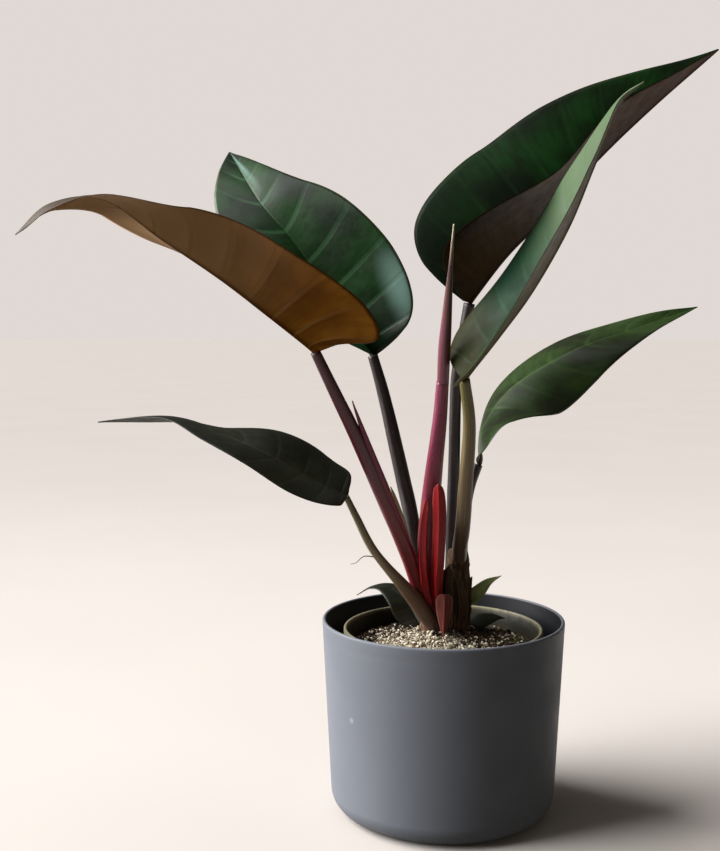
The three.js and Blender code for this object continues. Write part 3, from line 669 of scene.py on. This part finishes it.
# %% The rolled new leaf
def roll_finish():
    """A thin new blade: pink, brown, then cream up its length, with fine lengthways veins."""
    r = Recipe("new_leaf_cream", 0.36, coat=0.2)
    around, up = r.along()
    r.colour = r.ramp(up, [(0, "#6e2440"), (0.2, "#8e4c5c"), (0.4, "#86505a"), (0.62, "#5a3a30"),
                         (0.74, "#3c241a"), (0.88, "#a88e74"), (1, "#ece2ca")])
    veins = r.streaks(60, 3, 3)
    r.over("#8a4a58", veins, 0.42, 0.66, 0, 0.5)
    r.over("#5a2030", around, 0.0, 0.05, 0.5, 0)
    return r.done(r.relief(veins, 0.0004, 0.6))


SPEAR_STALK = [[-5, 13, 132], [-9, 10, 150], [-11, 3, 190], [-8, -4, 232], [-4, -12, 275],
               [-2.4, -18.2, 303]]
SPEAR_ROLL = [[-2.4, -18.2, 301.5], [-2, -24, 325], [0, -36, 364], [2, -50, 406]]
foot = stalk("spear_foot", SPEAR_STALK, [6.4, 6.6, 6.6, 5.4, 4.2], STALK_FINISH["spear_burgundy"])
roll = stalk("spear_roll", SPEAR_ROLL, [3.8, 3.9, 2.8, 1.4, 0.5], roll_finish(), sides=48, rough=0.05,
             step=(0.9, 0.22))
fit(foot, "stalk_burgundy", "spear_stalk")
fit(roll, "new_leaf_cream", "spear_blade")

# %% [markdown]
# ## Leaves
# A leaf is a sheet that is folded along its midrib and bends along its length. One formula makes
# them all. It reads an outline row by row, follows the midrib's route, folds each half up or down
# and lets it curl. The sheet then gets a real thickness, a keel under the midrib, a groove above
# it, and a gentle quilting between the side veins, deep enough to catch the light. The rows of the
# grid sweep forward from midrib to margin just as the side veins do, so veins follow the rows.

# %% Leaf outlines
HEART = [[0, -0.01, 0.055], [0.014, -0.03, 0.25], [0.022, -0.065, 0.48], [0.036, -0.082, 0.68],
         [0.058, -0.06, 0.84], [0.092, 0.01, 0.95], [0.15, 0.13, 1], [0.25, 0.29, 0.97],
         [0.38, 0.46, 0.84], [0.53, 0.63, 0.62], [0.7, 0.79, 0.36], [0.85, 0.91, 0.16],
         [0.94, 0.97, 0.06], [1, 1, 0.01]]
OVAL = [[0, -0.006, 0.055], [0.008, -0.002, 0.24], [0.018, 0.01, 0.44], [0.035, 0.03, 0.62],
        [0.065, 0.07, 0.78], [0.105, 0.125, 0.9], [0.17, 0.205, 0.98], [0.27, 0.32, 1],
        [0.4, 0.48, 0.88], [0.55, 0.65, 0.64], [0.71, 0.8, 0.37], [0.85, 0.91, 0.17],
        [0.94, 0.97, 0.06], [1, 1, 0.01]]
STRAP = [[0, 0, 0.75], [0.1, 0.1, 0.85], [0.25, 0.25, 0.95], [0.45, 0.45, 1], [0.65, 0.66, 0.92],
         [0.8, 0.82, 0.72], [0.92, 0.94, 0.42], [1, 1, 0.06]]


# %% The leaf formula
SWEEP, CURL = 1.5, 20


def outline_of(leaf):
    """Rows of (start on the midrib, end on the margin, half width), as shares."""
    lobes = leaf.get("lobes", 0)
    return np.array(leaf.get("outline", lobes * np.array(HEART) + (1 - lobes) * np.array(OVAL)))


def leaf_sheet(leaf, u, v):
    """The middle surface, for rows u from base to tip and places v from -1 (left margin) over 0
    (midrib) to 1. A line across starts on the midrib and sweeps forward by |v| to the power SWEEP.
    Each half leaves the midrib at its fold angle and bends on a circle, by up to CURL degrees."""
    u, v = np.broadcast_arrays(np.asarray(u, float), np.asarray(v, float))
    path = measured(leaf["midrib"])
    length = path[1][-1]
    row = smooth(outline_of(leaf), u)
    reach, half = np.abs(v), row[..., 2]
    belly = leaf.get("belly", 1)
    start, margin = (np.where(x > 0, np.abs(x) ** belly, x) for x in (row[..., 0], row[..., 1]))
    share = start + (margin - start) * reach**SWEEP
    point, forward = place_on(path, share * length)
    normal = unit(smooth(leaf["face"], share))
    normal = unit(normal - forward * (normal * forward).sum(-1, keepdims=True))
    right = np.cross(forward, normal)
    turn = np.radians(CURL * half * reach)
    folds = [smooth(leaf.get(key, leaf.get("fold")), share) for key in ("fold_right", "fold_left")]
    lift = np.radians(np.where(v >= 0, *folds)) - turn / 2
    chord = half * leaf["width"] * reach * np.sinc(turn / 2 / np.pi)
    wave = np.sin(2 * np.pi * (3 * u + leaf.get("wave_start", 0)) + np.where(v >= 0, 1.7, 0))
    ripple = leaf.get("wave", 0) * wave * reach**2 * np.minimum(1, 4 * half)
    outward = right * (np.sign(v) * chord * np.cos(lift))[..., None]
    return point + outward + normal * (chord * np.sin(lift) + ripple)[..., None]


def leaf_normals(leaf, u, v):
    """The direction the upper side faces, from small steps along and across the sheet."""
    along, aside = 0.004, 0.02
    ahead = leaf_sheet(leaf, np.minimum(u + along, 1), v) - leaf_sheet(leaf, np.maximum(u - along, 0), v)
    across = leaf_sheet(leaf, u, v + aside) - leaf_sheet(leaf, u, v - aside)
    return unit(np.cross(across, ahead))


# %% Leaves with thickness, keel, groove and veins
VEIN_SLANT, VEINS_PER_UV = 0.3, 10
RIB_WIDTH, GROOVE = 3.0, 0.25


def leaf_piece(name, leaf, finishes, rows=150, half_columns=30, thickness=0.9, keel=1.6, veins=10,
               quilt=0.35):
    """A flat ring at each row: over the upper side from left to right and back along the lower.
    The thickness is rounded off to nothing at the margin, the keel is a soft ridge under the
    midrib, and the quilting is the size of a sine between one side vein and the next."""
    u = np.linspace(0, 1, rows)[:, None]
    x = np.linspace(-1, 1, 2 * half_columns + 1)[None]
    v = np.sign(x) * np.abs(x) ** 1.5
    sheet, normal = leaf_sheet(leaf, u, v), leaf_normals(leaf, u, v)
    row = smooth(outline_of(leaf), u)
    phase = veins * (row[..., 0] + VEIN_SLANT * u) / (1 + VEIN_SLANT) + 0 * v
    away = np.abs(v) * row[..., 2] * leaf["width"]
    middle = 4 * np.abs(v) * (1 - np.abs(v))
    puff = quilt * (np.abs(np.sin(np.pi * phase)) ** 0.8 - 0.5) * middle * np.minimum(1, 3 * row[..., 2])
    rib_width = RIB_WIDTH * (1 - 0.7 * u) * min(1, keel)
    rib = keel * (1 - 0.8 * u) * np.clip(1 - (away / rib_width) ** 2, 0, 1) ** 1.5
    dip = GROOVE * min(1, keel) * (1 - 0.8 * u) * np.exp(-((away / (0.55 * rib_width)) ** 2))
    body = thickness / 2 * np.sqrt(1 - np.abs(v) ** 12) * (1 - 0.5 * u**6)
    upper = sheet + normal * (body + puff - dip)[..., None]
    lower = sheet + normal * (puff - body - rib)[..., None]
    ring = np.concatenate([upper, lower[:, -2:0:-1]], axis=1)
    over = np.concatenate([v[0], v[0, -2::-1]]) * 0.5 + 0.5
    along = np.concatenate([phase, phase[:, -2::-1]], axis=1) / VEINS_PER_UV
    uv = np.stack([np.broadcast_to(over, along.shape), along], -1)
    top = np.arange(ring.shape[1]) < 2 * half_columns
    return skin(name, ring, finishes, uv, np.where(top, 0, 1))


# %% [markdown]
# ## The leaves' finishes
# The upper side is a deep, waxy green, a little paler along the midrib and the side veins, and
# edged with bronze. The underside of this plant is what gives it its name: copper to wine brown,
# softer and less shiny. Both are one recipe with other colours, where each leaf may have a tint at
# its base or tip, some of which are painted light, and pale patches of painted sheen. The UV map
# gives the place across the leaf and a tenth of the count of side veins, so lines fall exactly on the
# valleys of the mesh.

# %% The leaves' finishes
# The colour of the painted sheen: pale blue-green patches where light glances off the leaf.
PAINTED_SHEEN_COLOUR = "#86aaa0"


def leaf_finish(name, deep, bright, vein, midrib, edge, roughness, coat, line=0.2, tints=(),
                specular=0.3, painted_sheen=()):
    """Cloudy base colour with soft streaks along the side veins, a faint line wherever the vein
    count is whole, a midrib band and an edge band. "tints" colour the base or the tip, each over a
    soft step of the count; some of them are painted light. The last argument lists soft pale
    patches of painted sheen, each at a place across and along the leaf, with its two radii and its
    share. The relief fades towards the narrow tip, where lines so close together would sparkle."""
    r = Recipe(name, roughness, specular=specular, coat=coat)
    across, count = r.along()
    place = r.place()
    r.colour = r.mix(r.between(r.noise(place, 22, 3), 0.35, 0.65), deep, bright)
    streaks = r.streaks(5, 55)
    r.over(deep, streaks, 0.4, 0.7, 0, 0.5)
    from_middle = r.off_middle()
    for step, tint in tints:
        r.over(tint, count, *step)
    # Painted sheen: each patch lays the pale colour over the leaf.
    for at_across, at_count, wide, long, thickest in painted_sheen:
        aside = r.calc("DIVIDE", r.calc("SUBTRACT", across, at_across), wide)
        ahead = r.calc("DIVIDE", r.calc("SUBTRACT", count, at_count), long)
        r.over(PAINTED_SHEEN_COLOUR, r.away(r.pair(aside, ahead)), 0.1, 1, thickest, 0)
    wave = r.calc("COSINE", r.calc("MULTIPLY", count, VEINS_PER_UV * 2 * math.pi))
    side_vein = r.between(wave, 0.86, 1.0)
    fade = r.between(from_middle, 0.02, 0.46, 1.0, 0.15)
    share = r.calc("MULTIPLY", r.calc("MULTIPLY", side_vein, fade), line)
    r.colour = r.mix(share, r.colour, vein)
    r.over(midrib, from_middle, 0.004, 0.02, 0.6, 0)
    r.over(edge, from_middle, 0.486, 0.497, 0, 0.7)
    mottle = r.noise(place, 120, 4, 0.6)
    height = r.calc("SUBTRACT", r.calc("MULTIPLY", streaks, 0.5), r.calc("MULTIPLY", side_vein, 0.5))
    height = r.calc("MULTIPLY", height, r.between(count, 0.75, 0.92, 1, 0))
    normal = r.relief(height, 0.0004, 0.4, r.relief(mottle, 0.0004, 0.3))
    return r.done(normal, r.between(mottle, 0.3, 0.7, roughness - 0.04, roughness + 0.08))


UPPER = leaf_finish("leaf_green_upper", "#161f09", "#284016", "#46682e", "#3f5c26", "#2a1a10", 0.36, 0.1)
# Two patches of painted sheen, beside the midrib near the tip and at the right margin near the base.
UPPER_SHEEN = leaf_finish(
    "leaf_green_sheen", "#0a1c09", "#163a14", "#4c7a52", "#2a4a24", "#5a5a30", 0.38, 0.06, 0.35,
    specular=0.2, painted_sheen=[(0.62, 0.8, 0.13, 0.2, 0.45), (0.93, 0.19, 0.16, 0.12, 0.5)])
UPPER_DEEP = leaf_finish(
    "leaf_green_deep", "#060f03", "#0c290b", "#1a3819", "#142a13", "#1a120a", 0.46, 0,
    tints=[((0.1, 0.5, 0.85, 0), "#040b03")], specular=0.03)
# The pale grey-green band from the middle of the leaf to its tip is a painted highlight, glare on the
# upper side.
UPPER_TEAL = leaf_finish(
    "leaf_green_teal", "#0f2617", "#183a26", "#3a6248", "#5a5430", "#3c321c", 0.5, 0,
    tints=[((0.14, 0.34, 0.9, 0), "#28280c"), ((0.35, 0.7, 0, 0.75), "#57694b")], specular=0.08)
UPPER_BRONZE = leaf_finish(
    "leaf_bronze_upper", "#10190c", "#1f2c16", "#3e4c2c", "#3e3e24", "#402818", 0.52, 0.02,
    tints=[((0.6, 0.95, 0, 0.8), "#44342a")], specular=0.1)
UPPER_DARK = leaf_finish(
    "leaf_dark_upper", "#0c1006", "#1a1f0d", "#2e341c", "#30321a", "#1a110a", 0.46, 0.05)
# The pale tan from the middle to the tip is painted light: light through the thin blade and glare at a
# grazing angle.
UNDER_COPPER = leaf_finish(
    "leaf_copper_under", "#86501a", "#b2762a", "#c2935e", "#4a1a10", "#6a3018", 0.5, 0, 0.55,
    tints=[((0.22, 0.72, 0, 0.95), "#eebc88")], specular=0.03)
UNDER_BROWN = leaf_finish(
    "leaf_brown_under", "#261802", "#402b05", "#2c1a05", "#2a120a", "#3a1c10", 0.55, 0,
    tints=[((0.5, 0.9, 0, 0.7), "#5a3a2a")], specular=0.1)
UNDER_OLIVE = leaf_finish(
    "leaf_olive_under", "#3a341a", "#584e28", "#302c14", "#4c4824", "#46341e", 0.5, 0)
UNDER_DARK = leaf_finish(
    "leaf_dark_under", "#101208", "#1e2010", "#282a16", "#2c2916", "#1a110a", 0.48, 0.05)

# %% [markdown]
# ## The six big leaves
# Each row below is one leaf: its midrib as a route, its half width, how far its base has lobes,
# where its upper side faces from base to tip, and how each half is folded. These are the same
# numbers that the solids have, so each fine leaf lies on its solid.

# %% The six big leaves
LEAVES = {
    "left_front": dict(
        midrib=[[-88, -39, 324], [-118, -52, 348], [-146, -64, 370], [-182, -78, 395], [-215, -88, 418],
                [-248, -90, 415], [-271, -84, 397]],
        width=61, lobes=1, belly=1.15, face=[[0.56, 0.3, 0.75], [0.5, 0.42, 0.7], [-0.75, -0.05, 0.65]],
        fold_right=[50, 35, 24, 4, -10], fold_left=[38, 34, 25, -22, -40], wave=1.2,
        finishes=[UPPER_BRONZE, UNDER_COPPER], slot="leaf_copper", veins=11, quilt=0.9),
    "left_back": dict(
        midrib=[[-49, 58, 319], [-79, 66, 361], [-108, 75, 403], [-133, 90, 432], [-150, 118, 458],
                [-165, 160, 482]],
        width=59, lobes=0.2, belly=1.1, face=[[-0.2, -0.8, 0.6], [-0.2, -0.7, 0.7], [0, -0.2, 1]],
        fold_right=[45, 20, 15], fold_left=[80, 25, 10], wave=1.2, wave_start=0.3, quilt=0.6,
        finishes=[UPPER_SHEEN, UNDER_BROWN], slot="leaf_green", veins=9),
    "right_back": dict(
        midrib=[[19, 22, 357], [47, 26, 392], [81, 30, 425], [112, 34, 460], [152, 38, 498],
                [197, 42, 537]],
        width=79, lobes=0.08, face=[[-0.72, -0.3, 0.6], [-0.68, -0.39, 0.62], [-0.5, -0.4, 0.75]],
        fold_right=[68, 46, 50, 45], fold_left=[60, 53, 48, 40], wave=1.2, wave_start=0.1,
        finishes=[UPPER_DEEP, UNDER_BROWN], slot="leaf_green", veins=11),
    "right_front": dict(
        midrib=[[10.4, -40, 306], [32, -52, 335], [52, -60, 364], [72, -70, 402], [86, -78, 439],
                [99, -88, 474], [111, -100, 486]],
        width=46, lobes=0.3, face=[[-0.8, -0.1, 0.4], [-0.8, -0.15, 0.5], [-0.5, -0.2, 0.8]],
        fold_right=[25, 30, 20], fold_left=[30, 25, 20], wave=0.8, wave_start=0.2,
        finishes=[UPPER_TEAL, UNDER_OLIVE], slot="leaf_green", veins=10),
    "right_low": dict(
        midrib=[[27, 29, 241], [32, 38, 268], [55, 50, 296.5], [101, 66, 322], [146, 84, 337],
                [205, 108, 355.5]],
        width=44.5, belly=1.3, face=[[-1, -0.05, 0.1], [-0.4, -0.5, 0.8], [0, -0.5, 0.85]],
        fold_right=[15, -20, 0, 8], fold_left=[-8, -8, 2, 17], wave=1.2, wave_start=0.6,
        finishes=[UPPER, UNDER_BROWN], slot="leaf_green", veins=9),
    "left_low": dict(
        midrib=[[-68, -20, 225], [-93, -20, 237], [-124, -16, 254], [-156, -10, 267], [-190, 0, 278],
                [-244, 14, 273]],
        width=37, belly=1.35, face=[[0.3, -0.4, 0.8], [0.3, -0.36, 0.85], [0, 0.1, 0.9]],
        fold_right=[10, 10, -20, -30], fold_left=[22, 20, 12, 10], wave=0.8, wave_start=0.2,
        finishes=[UPPER_DARK, UNDER_DARK], slot="leaf_dark_green", veins=9),
}
for key, leaf in LEAVES.items():
    quilt = leaf.get("quilt", 0.35)
    piece = leaf_piece(f"leaf_{key}", leaf, leaf["finishes"], veins=leaf["veins"], quilt=quilt)
    fit(piece, leaf["slot"], f"blade_{key}")

# %% [markdown]
# ## Bracts and small leaves
# Round the foot stand the bracts, straps that once wrapped a new leaf: one bright red, one darker
# red, a brown-pink one at the base and an olive end behind. Parallel veins run their whole length.
# Three small leaves complete the foot. They all use the leaf formula, the bracts with a strap's
# outline and the leaves with an oval one.

# %% The bracts' finish
def bract_finish(name, deep, bright, edge, roughness):
    """A fleshy strap: parallel streaks from foot to tip, paler along both edges."""
    r = Recipe(name, roughness, specular=0.3, coat=0.08)
    lines = r.streaks(24, 2.5)
    r.colour = r.mix(r.between(lines, 0.35, 0.65), deep, bright)
    r.over(edge, r.off_middle(), 0.36, 0.49, 0, 0.75)
    r.over(deep, r.noise(r.place(), 300, 4), 0.55, 0.75, 0, 0.3)
    return r.done(r.relief(lines, 0.0008, 0.6))


RED = bract_finish("bract_red", "#8a0c12", "#b0181c", "#b84440", 0.45)
DARK_RED = bract_finish("bract_dark_red", "#74040a", "#9c0810", "#a8141c", 0.5)
PINK_BROWN = bract_finish("bract_pink_brown", "#5c2422", "#8a4640", "#b08274", 0.55)
BRACT_OLIVE = bract_finish("bract_olive", "#4a3c22", "#6b5f3a", "#8a7d58", 0.5)
SMALL_OLIVE = leaf_finish(
    "leaf_olive", "#848e54", "#b0ba7c", "#c4ca98", "#8a8a50", "#6a5a3a", 0.55, 0)

# %% The bracts and small leaves
BLUNT = [[0, 0, 0.75], [0.1, 0.1, 0.85], [0.25, 0.25, 0.95], [0.5, 0.5, 1], [0.75, 0.76, 1],
         [0.88, 0.89, 0.9], [0.96, 0.965, 0.65], [1, 1, 0.15]]
WEDGE = [[0, 0, 0.35], [0.06, 0.06, 0.85], [0.2, 0.2, 1], [0.45, 0.45, 0.9], [0.75, 0.75, 0.55],
         [1, 1, 0.1]]
SMALL = {
    "bract_red": dict(
        midrib=[[-2.6, -0.4, 140], [-5.1, -7, 156], [-4.5, -12, 179], [-4, -16, 207], [-5, -19.5, 233]],
        outline=BLUNT, width=5.8, face=[[0.1, 0.9, 0.2], [0.1, 0.9, 0.3]], fold=[52, 48, 40],
        finish=RED, slot="bract_red"),
    "bract_dark_red": dict(
        midrib=[[-11, 0, 146], [-14, -5.5, 157], [-16.5, -9, 178], [-16, -11, 204], [-13, -12, 222]],
        outline=BLUNT, width=4.6, face=[[0.7, 0.7, 0], [0.8, 0.6, 0.1]], fold=[35, 35, 30],
        finish=DARK_RED, slot="bract_dark_red"),
    "bract_base": dict(
        midrib=[[0.5, -9, 154], [0.5, -8.6, 146.5], [0.4, -6.9, 137], [0.3, -4.6, 129.5],
                [0.2, -3.2, 123]],
        outline=WEDGE, width=7, face=[[0, 1, 0.1], [0, 1, -0.1]], fold=[40, 40, 35],
        finish=PINK_BROWN, slot="bract_pink_brown"),
    "bract_olive": dict(
        midrib=[[-11, 14, 138], [-20, 12, 160], [-25, 9, 185], [-31, 7, 208], [-37, 6, 228]],
        outline=STRAP, width=4.2, face=[[0.7, 0.6, 0.3], [0.7, 0.6, 0.3]], fold=[30, 30, 25],
        finish=BRACT_OLIVE, slot="stalk_brown"),
    "small_leaf_right": dict(
        midrib=[[17, 15, 141], [26, 15, 149], [34, 16, 157], [43, 17, 162]],
        width=6.5, face=[[-0.3, -0.7, 0.6], [-0.2, -0.5, 0.9]], fold=[35, 25, 20],
        finish=SMALL_OLIVE, slot="leaf_olive"),
    "leaf_over_rim": dict(
        midrib=[[-15, 25, 124], [-25, 36, 139], [-38, 45, 147], [-50, 50, 146], [-61, 53, 139.5]],
        width=15, face=[[-0.5, -0.3, 0.8], [0, -0.2, 1], [0.3, 0, 1]], fold=[30, 8, 5],
        finish=UPPER_DARK, slot="leaf_dark_green"),
    "leaf_on_mix": dict(
        midrib=[[19, 22, 127], [28, 29, 130.5], [39, 34, 129.5], [49, 38, 125.5]],
        width=12, face=[[-0.1, -0.3, 1], [0, -0.2, 1]], fold=[-10, -15, -10],
        finish=UPPER_DARK, slot="leaf_dark_green"),
}
for key, leaf in SMALL.items():
    piece = leaf_piece(f"small_{key}", leaf, [leaf["finish"]] * 2, rows=64, half_columns=14, keel=0.4,
                       veins=7, quilt=0.1)
    fit(piece, leaf["slot"], key)

# %% [markdown]
# ## The stem
# At the surface of the mix the stalks leave a short crown, and to its right stands the old woody
# stem, brown and rough. It is lofted through oval sections, then roughened with rings, lengthways
# fibres and lumps.

# %% The stem
def bark_finish():
    """Dry brown bark: dark cracks lengthways, pale fibres, and rings where leaves once stood."""
    r = Recipe("woody_stem", 0.8, specular=0.3)
    place = r.place()
    fibre = r.noise(r.stretched(place, (420, 420, 70)), 1, 5, 0.65)
    r.colour = r.ramp(fibre, [(0.28, "#1a110b"), (0.45, "#463022"), (0.6, "#755a43"), (0.78, "#a28a70")])
    r.over("#3a3420", r.noise(place, 60, 3), 0.5, 0.7, 0, 0.5)
    return r.done(r.relief(fibre, 0.0016, 0.9))


def lofted(name, sections, finish, rows=70, sides=90, rough=0.5):
    """Oval rings through sections of (height, centre x, centre y, half across, half deep), with the
    surface moved out and in by scars, which are rings 11 mm apart, and by fibres and lumps."""
    z, x, y, across, deep = smooth(sections, np.linspace(0, 1, rows)).T[:, :, None]
    outward = circle(1, 0, sides)
    cosine, sine = outward[:, 0], outward[:, 1]
    ring = np.stack([x + across * cosine, y + deep * sine, z + 0 * sine], -1)
    fibres = roughness_at(ring * [1, 1, 0.15], 1.3, 5) + 0.8 * roughness_at(ring * [1, 1, 0.4], 3.5, 6)
    scars = np.exp(-((((z + 2 * sine) % 11 - 5.5) / 1.1) ** 2))
    moved = rough * (0.6 * fibres + 0.9 * scars - 0.5)
    return skin(name, ring + outward * moved[..., None], [finish])


BARK = bark_finish()
CROWN_SECTIONS = [[100, 1, 14, 12, 10], [114, 0, 14, 15, 11], [126, 0, 14, 15.5, 11],
                  [136, 0, 14, 13, 10], [143, 1, 14.5, 9, 7.5], [146, 2, 15, 5, 4]]
TRUNK_SECTIONS = [[112, 12, 16, 8, 8], [132, 12, 16, 9, 9], [150, 12, 15.5, 9.2, 9],
                  [166, 11.6, 15, 8.8, 8.6], [178, 11.5, 14, 7.6, 7.4], [182, 11.5, 13.5, 6, 6]]
fit(lofted("crown", CROWN_SECTIONS, BARK), "woody_stem", "stem")
fit(lofted("trunk", TRUNK_SECTIONS, BARK), "woody_stem", "stem")

# %% [markdown]
# ## Sheath remains
# Three old sheaths have dried on to the stem and leave it ragged. A rough stem alone can't show
# their loose torn ends, so each is a strap of its own, made like a bract with a torn top.

# %% Sheath remains
TORN = [[0, 0, 0.8], [0.3, 0.3, 1], [0.6, 0.6, 0.95], [0.8, 0.8, 0.6], [0.88, 0.88, 0.75],
        [0.95, 0.95, 0.35], [1, 1, 0.05]]
REMAINS = {
    "left": dict(
        midrib=[[2.6, 6, 126], [1.8, 5, 140], [2.2, 4, 156], [4.2, 3.4, 172]],
        outline=TORN, width=6, face=[[0.3, 0.9, 0], [0.3, 0.9, 0]], fold=[35, 30, 25]),
    "front": dict(
        midrib=[[12, 6.4, 124], [12.4, 5.4, 138], [11.4, 5, 152], [9.5, 4.6, 163]],
        outline=TORN, width=7, face=[[0, 1, 0], [0.1, 1, 0]], fold=[40, 35, 30]),
    "right": dict(
        midrib=[[19.6, 11, 126], [20.6, 10.6, 140], [20.8, 10.2, 152], [21.4, 9.6, 163]],
        outline=TORN, width=6, face=[[-0.8, 0.6, 0], [-0.8, 0.6, 0.1]], fold=[50, 50, 45]),
}
DRY = bract_finish("dry_sheath", "#2a1b12", "#5c4329", "#745a40", 0.8)
for key, leaf in REMAINS.items():
    piece = leaf_piece(f"sheath_remains_{key}", leaf, [DRY] * 2, rows=50, half_columns=12,
                       thickness=0.5, keel=0.2, veins=5, quilt=0.3)
    fit(piece, "woody_stem")

# %% [markdown]
# ## Floor, light and camera
# The part stands on a plain pale floor. A low sun with a very wide disc stands in for soft daylight
# from the left, a panel beside it gives the leaves their sheen, and a weak panel overhead fills the
# pot's mouth. Light thrown back by so large a floor would wash out the dark undersides, so the
# floor throws none. The world is pale to the camera but gives little light. The camera stands
# where the photographer's did.

# %% The floor
def floor_finish():
    """Pale matt board, very slightly cloudy."""
    r = Recipe("pale_floor", 0.8, specular=0.1)
    r.colour = r.mix(r.noise(r.place(), 3, 3), "#bfb9b5", "#c6c0bc")
    return r.done()


def disc(name, radius, sides, finish):
    """A flat round sheet in the plane of the floor, as one face with points on a circle."""
    mesh = bpy.data.meshes.new(name)
    mesh.from_pydata(circle(radius, 0, sides).tolist(), [], [list(range(sides))])
    return shown(name, mesh, [finish])


floor = disc("floor", 30, 128, floor_finish())
floor.visible_diffuse = False

# %% The lamps
def lamp(name, kind, energy, place, target, **settings):
    """A lamp at a place, turned to look at a point, with what else it needs."""
    light = bpy.data.lights.new(name, kind)
    light.energy = energy
    for key, value in settings.items():
        setattr(light, key, value)
    holder = bpy.data.objects.new(name, light)
    holder.location = place
    look = np.asarray(target, float) - place
    yaw = math.atan2(look[1], look[0])
    tilt = math.atan2(look[2], math.hypot(look[0], look[1]))
    holder.rotation_euler = (math.pi / 2 + tilt, 0, yaw - math.pi / 2)
    bpy.context.scene.collection.objects.link(holder)


lamp("daylight", "SUN", 8.0, (-2.0, 0.16, 1.25), (0, 0, 0), angle=math.radians(58),
     color=(1.0, 0.985, 0.965))
lamp("window", "AREA", 7, (-1.5, 0.0, 0.9), (0, 0, 0.25), shape="RECTANGLE", size=1.2, size_y=1.0)
lamp("overhead", "AREA", 6, (-0.35, 0.1, 1.4), (0, 0, 0.12), size=0.9)

# %% The world
FILL_COLOUR, FILL_STRENGTH = (0.66, 0.60, 0.50, 1), 0.13
SEEN_COLOUR = (0.75, 0.69, 0.66, 1)
world = bpy.data.worlds.new("studio")
bpy.context.scene.world = world
world.use_nodes = True
nodes, links = world.node_tree.nodes, world.node_tree.links
fill = nodes["Background"]
fill.inputs["Color"].default_value = FILL_COLOUR
fill.inputs["Strength"].default_value = FILL_STRENGTH
seen = nodes.new("ShaderNodeBackground")
seen.inputs["Color"].default_value = SEEN_COLOUR
choose = nodes.new("ShaderNodeMixShader")
to_camera = nodes.new("ShaderNodeLightPath").outputs["Is Camera Ray"]
for index, output in enumerate([to_camera, fill.outputs[0], seen.outputs[0]]):
    links.new(output, choose.inputs[index])
links.new(choose.outputs[0], nodes["World Output"].inputs["Surface"])
bpy.context.scene.view_settings.view_transform = "Standard"

# %% The camera
LOOKING_DOWN = 4.8
lens = bpy.data.cameras.new("photographer")
lens.lens, lens.sensor_width = 50, 36
camera = bpy.data.objects.new("photographer", lens)
camera.location = (-0.0585, -0.820, 0.3405)
camera.rotation_euler = (math.radians(90 - LOOKING_DOWN), 0, 0)
bpy.context.scene.collection.objects.link(camera)
bpy.context.scene.camera = camera
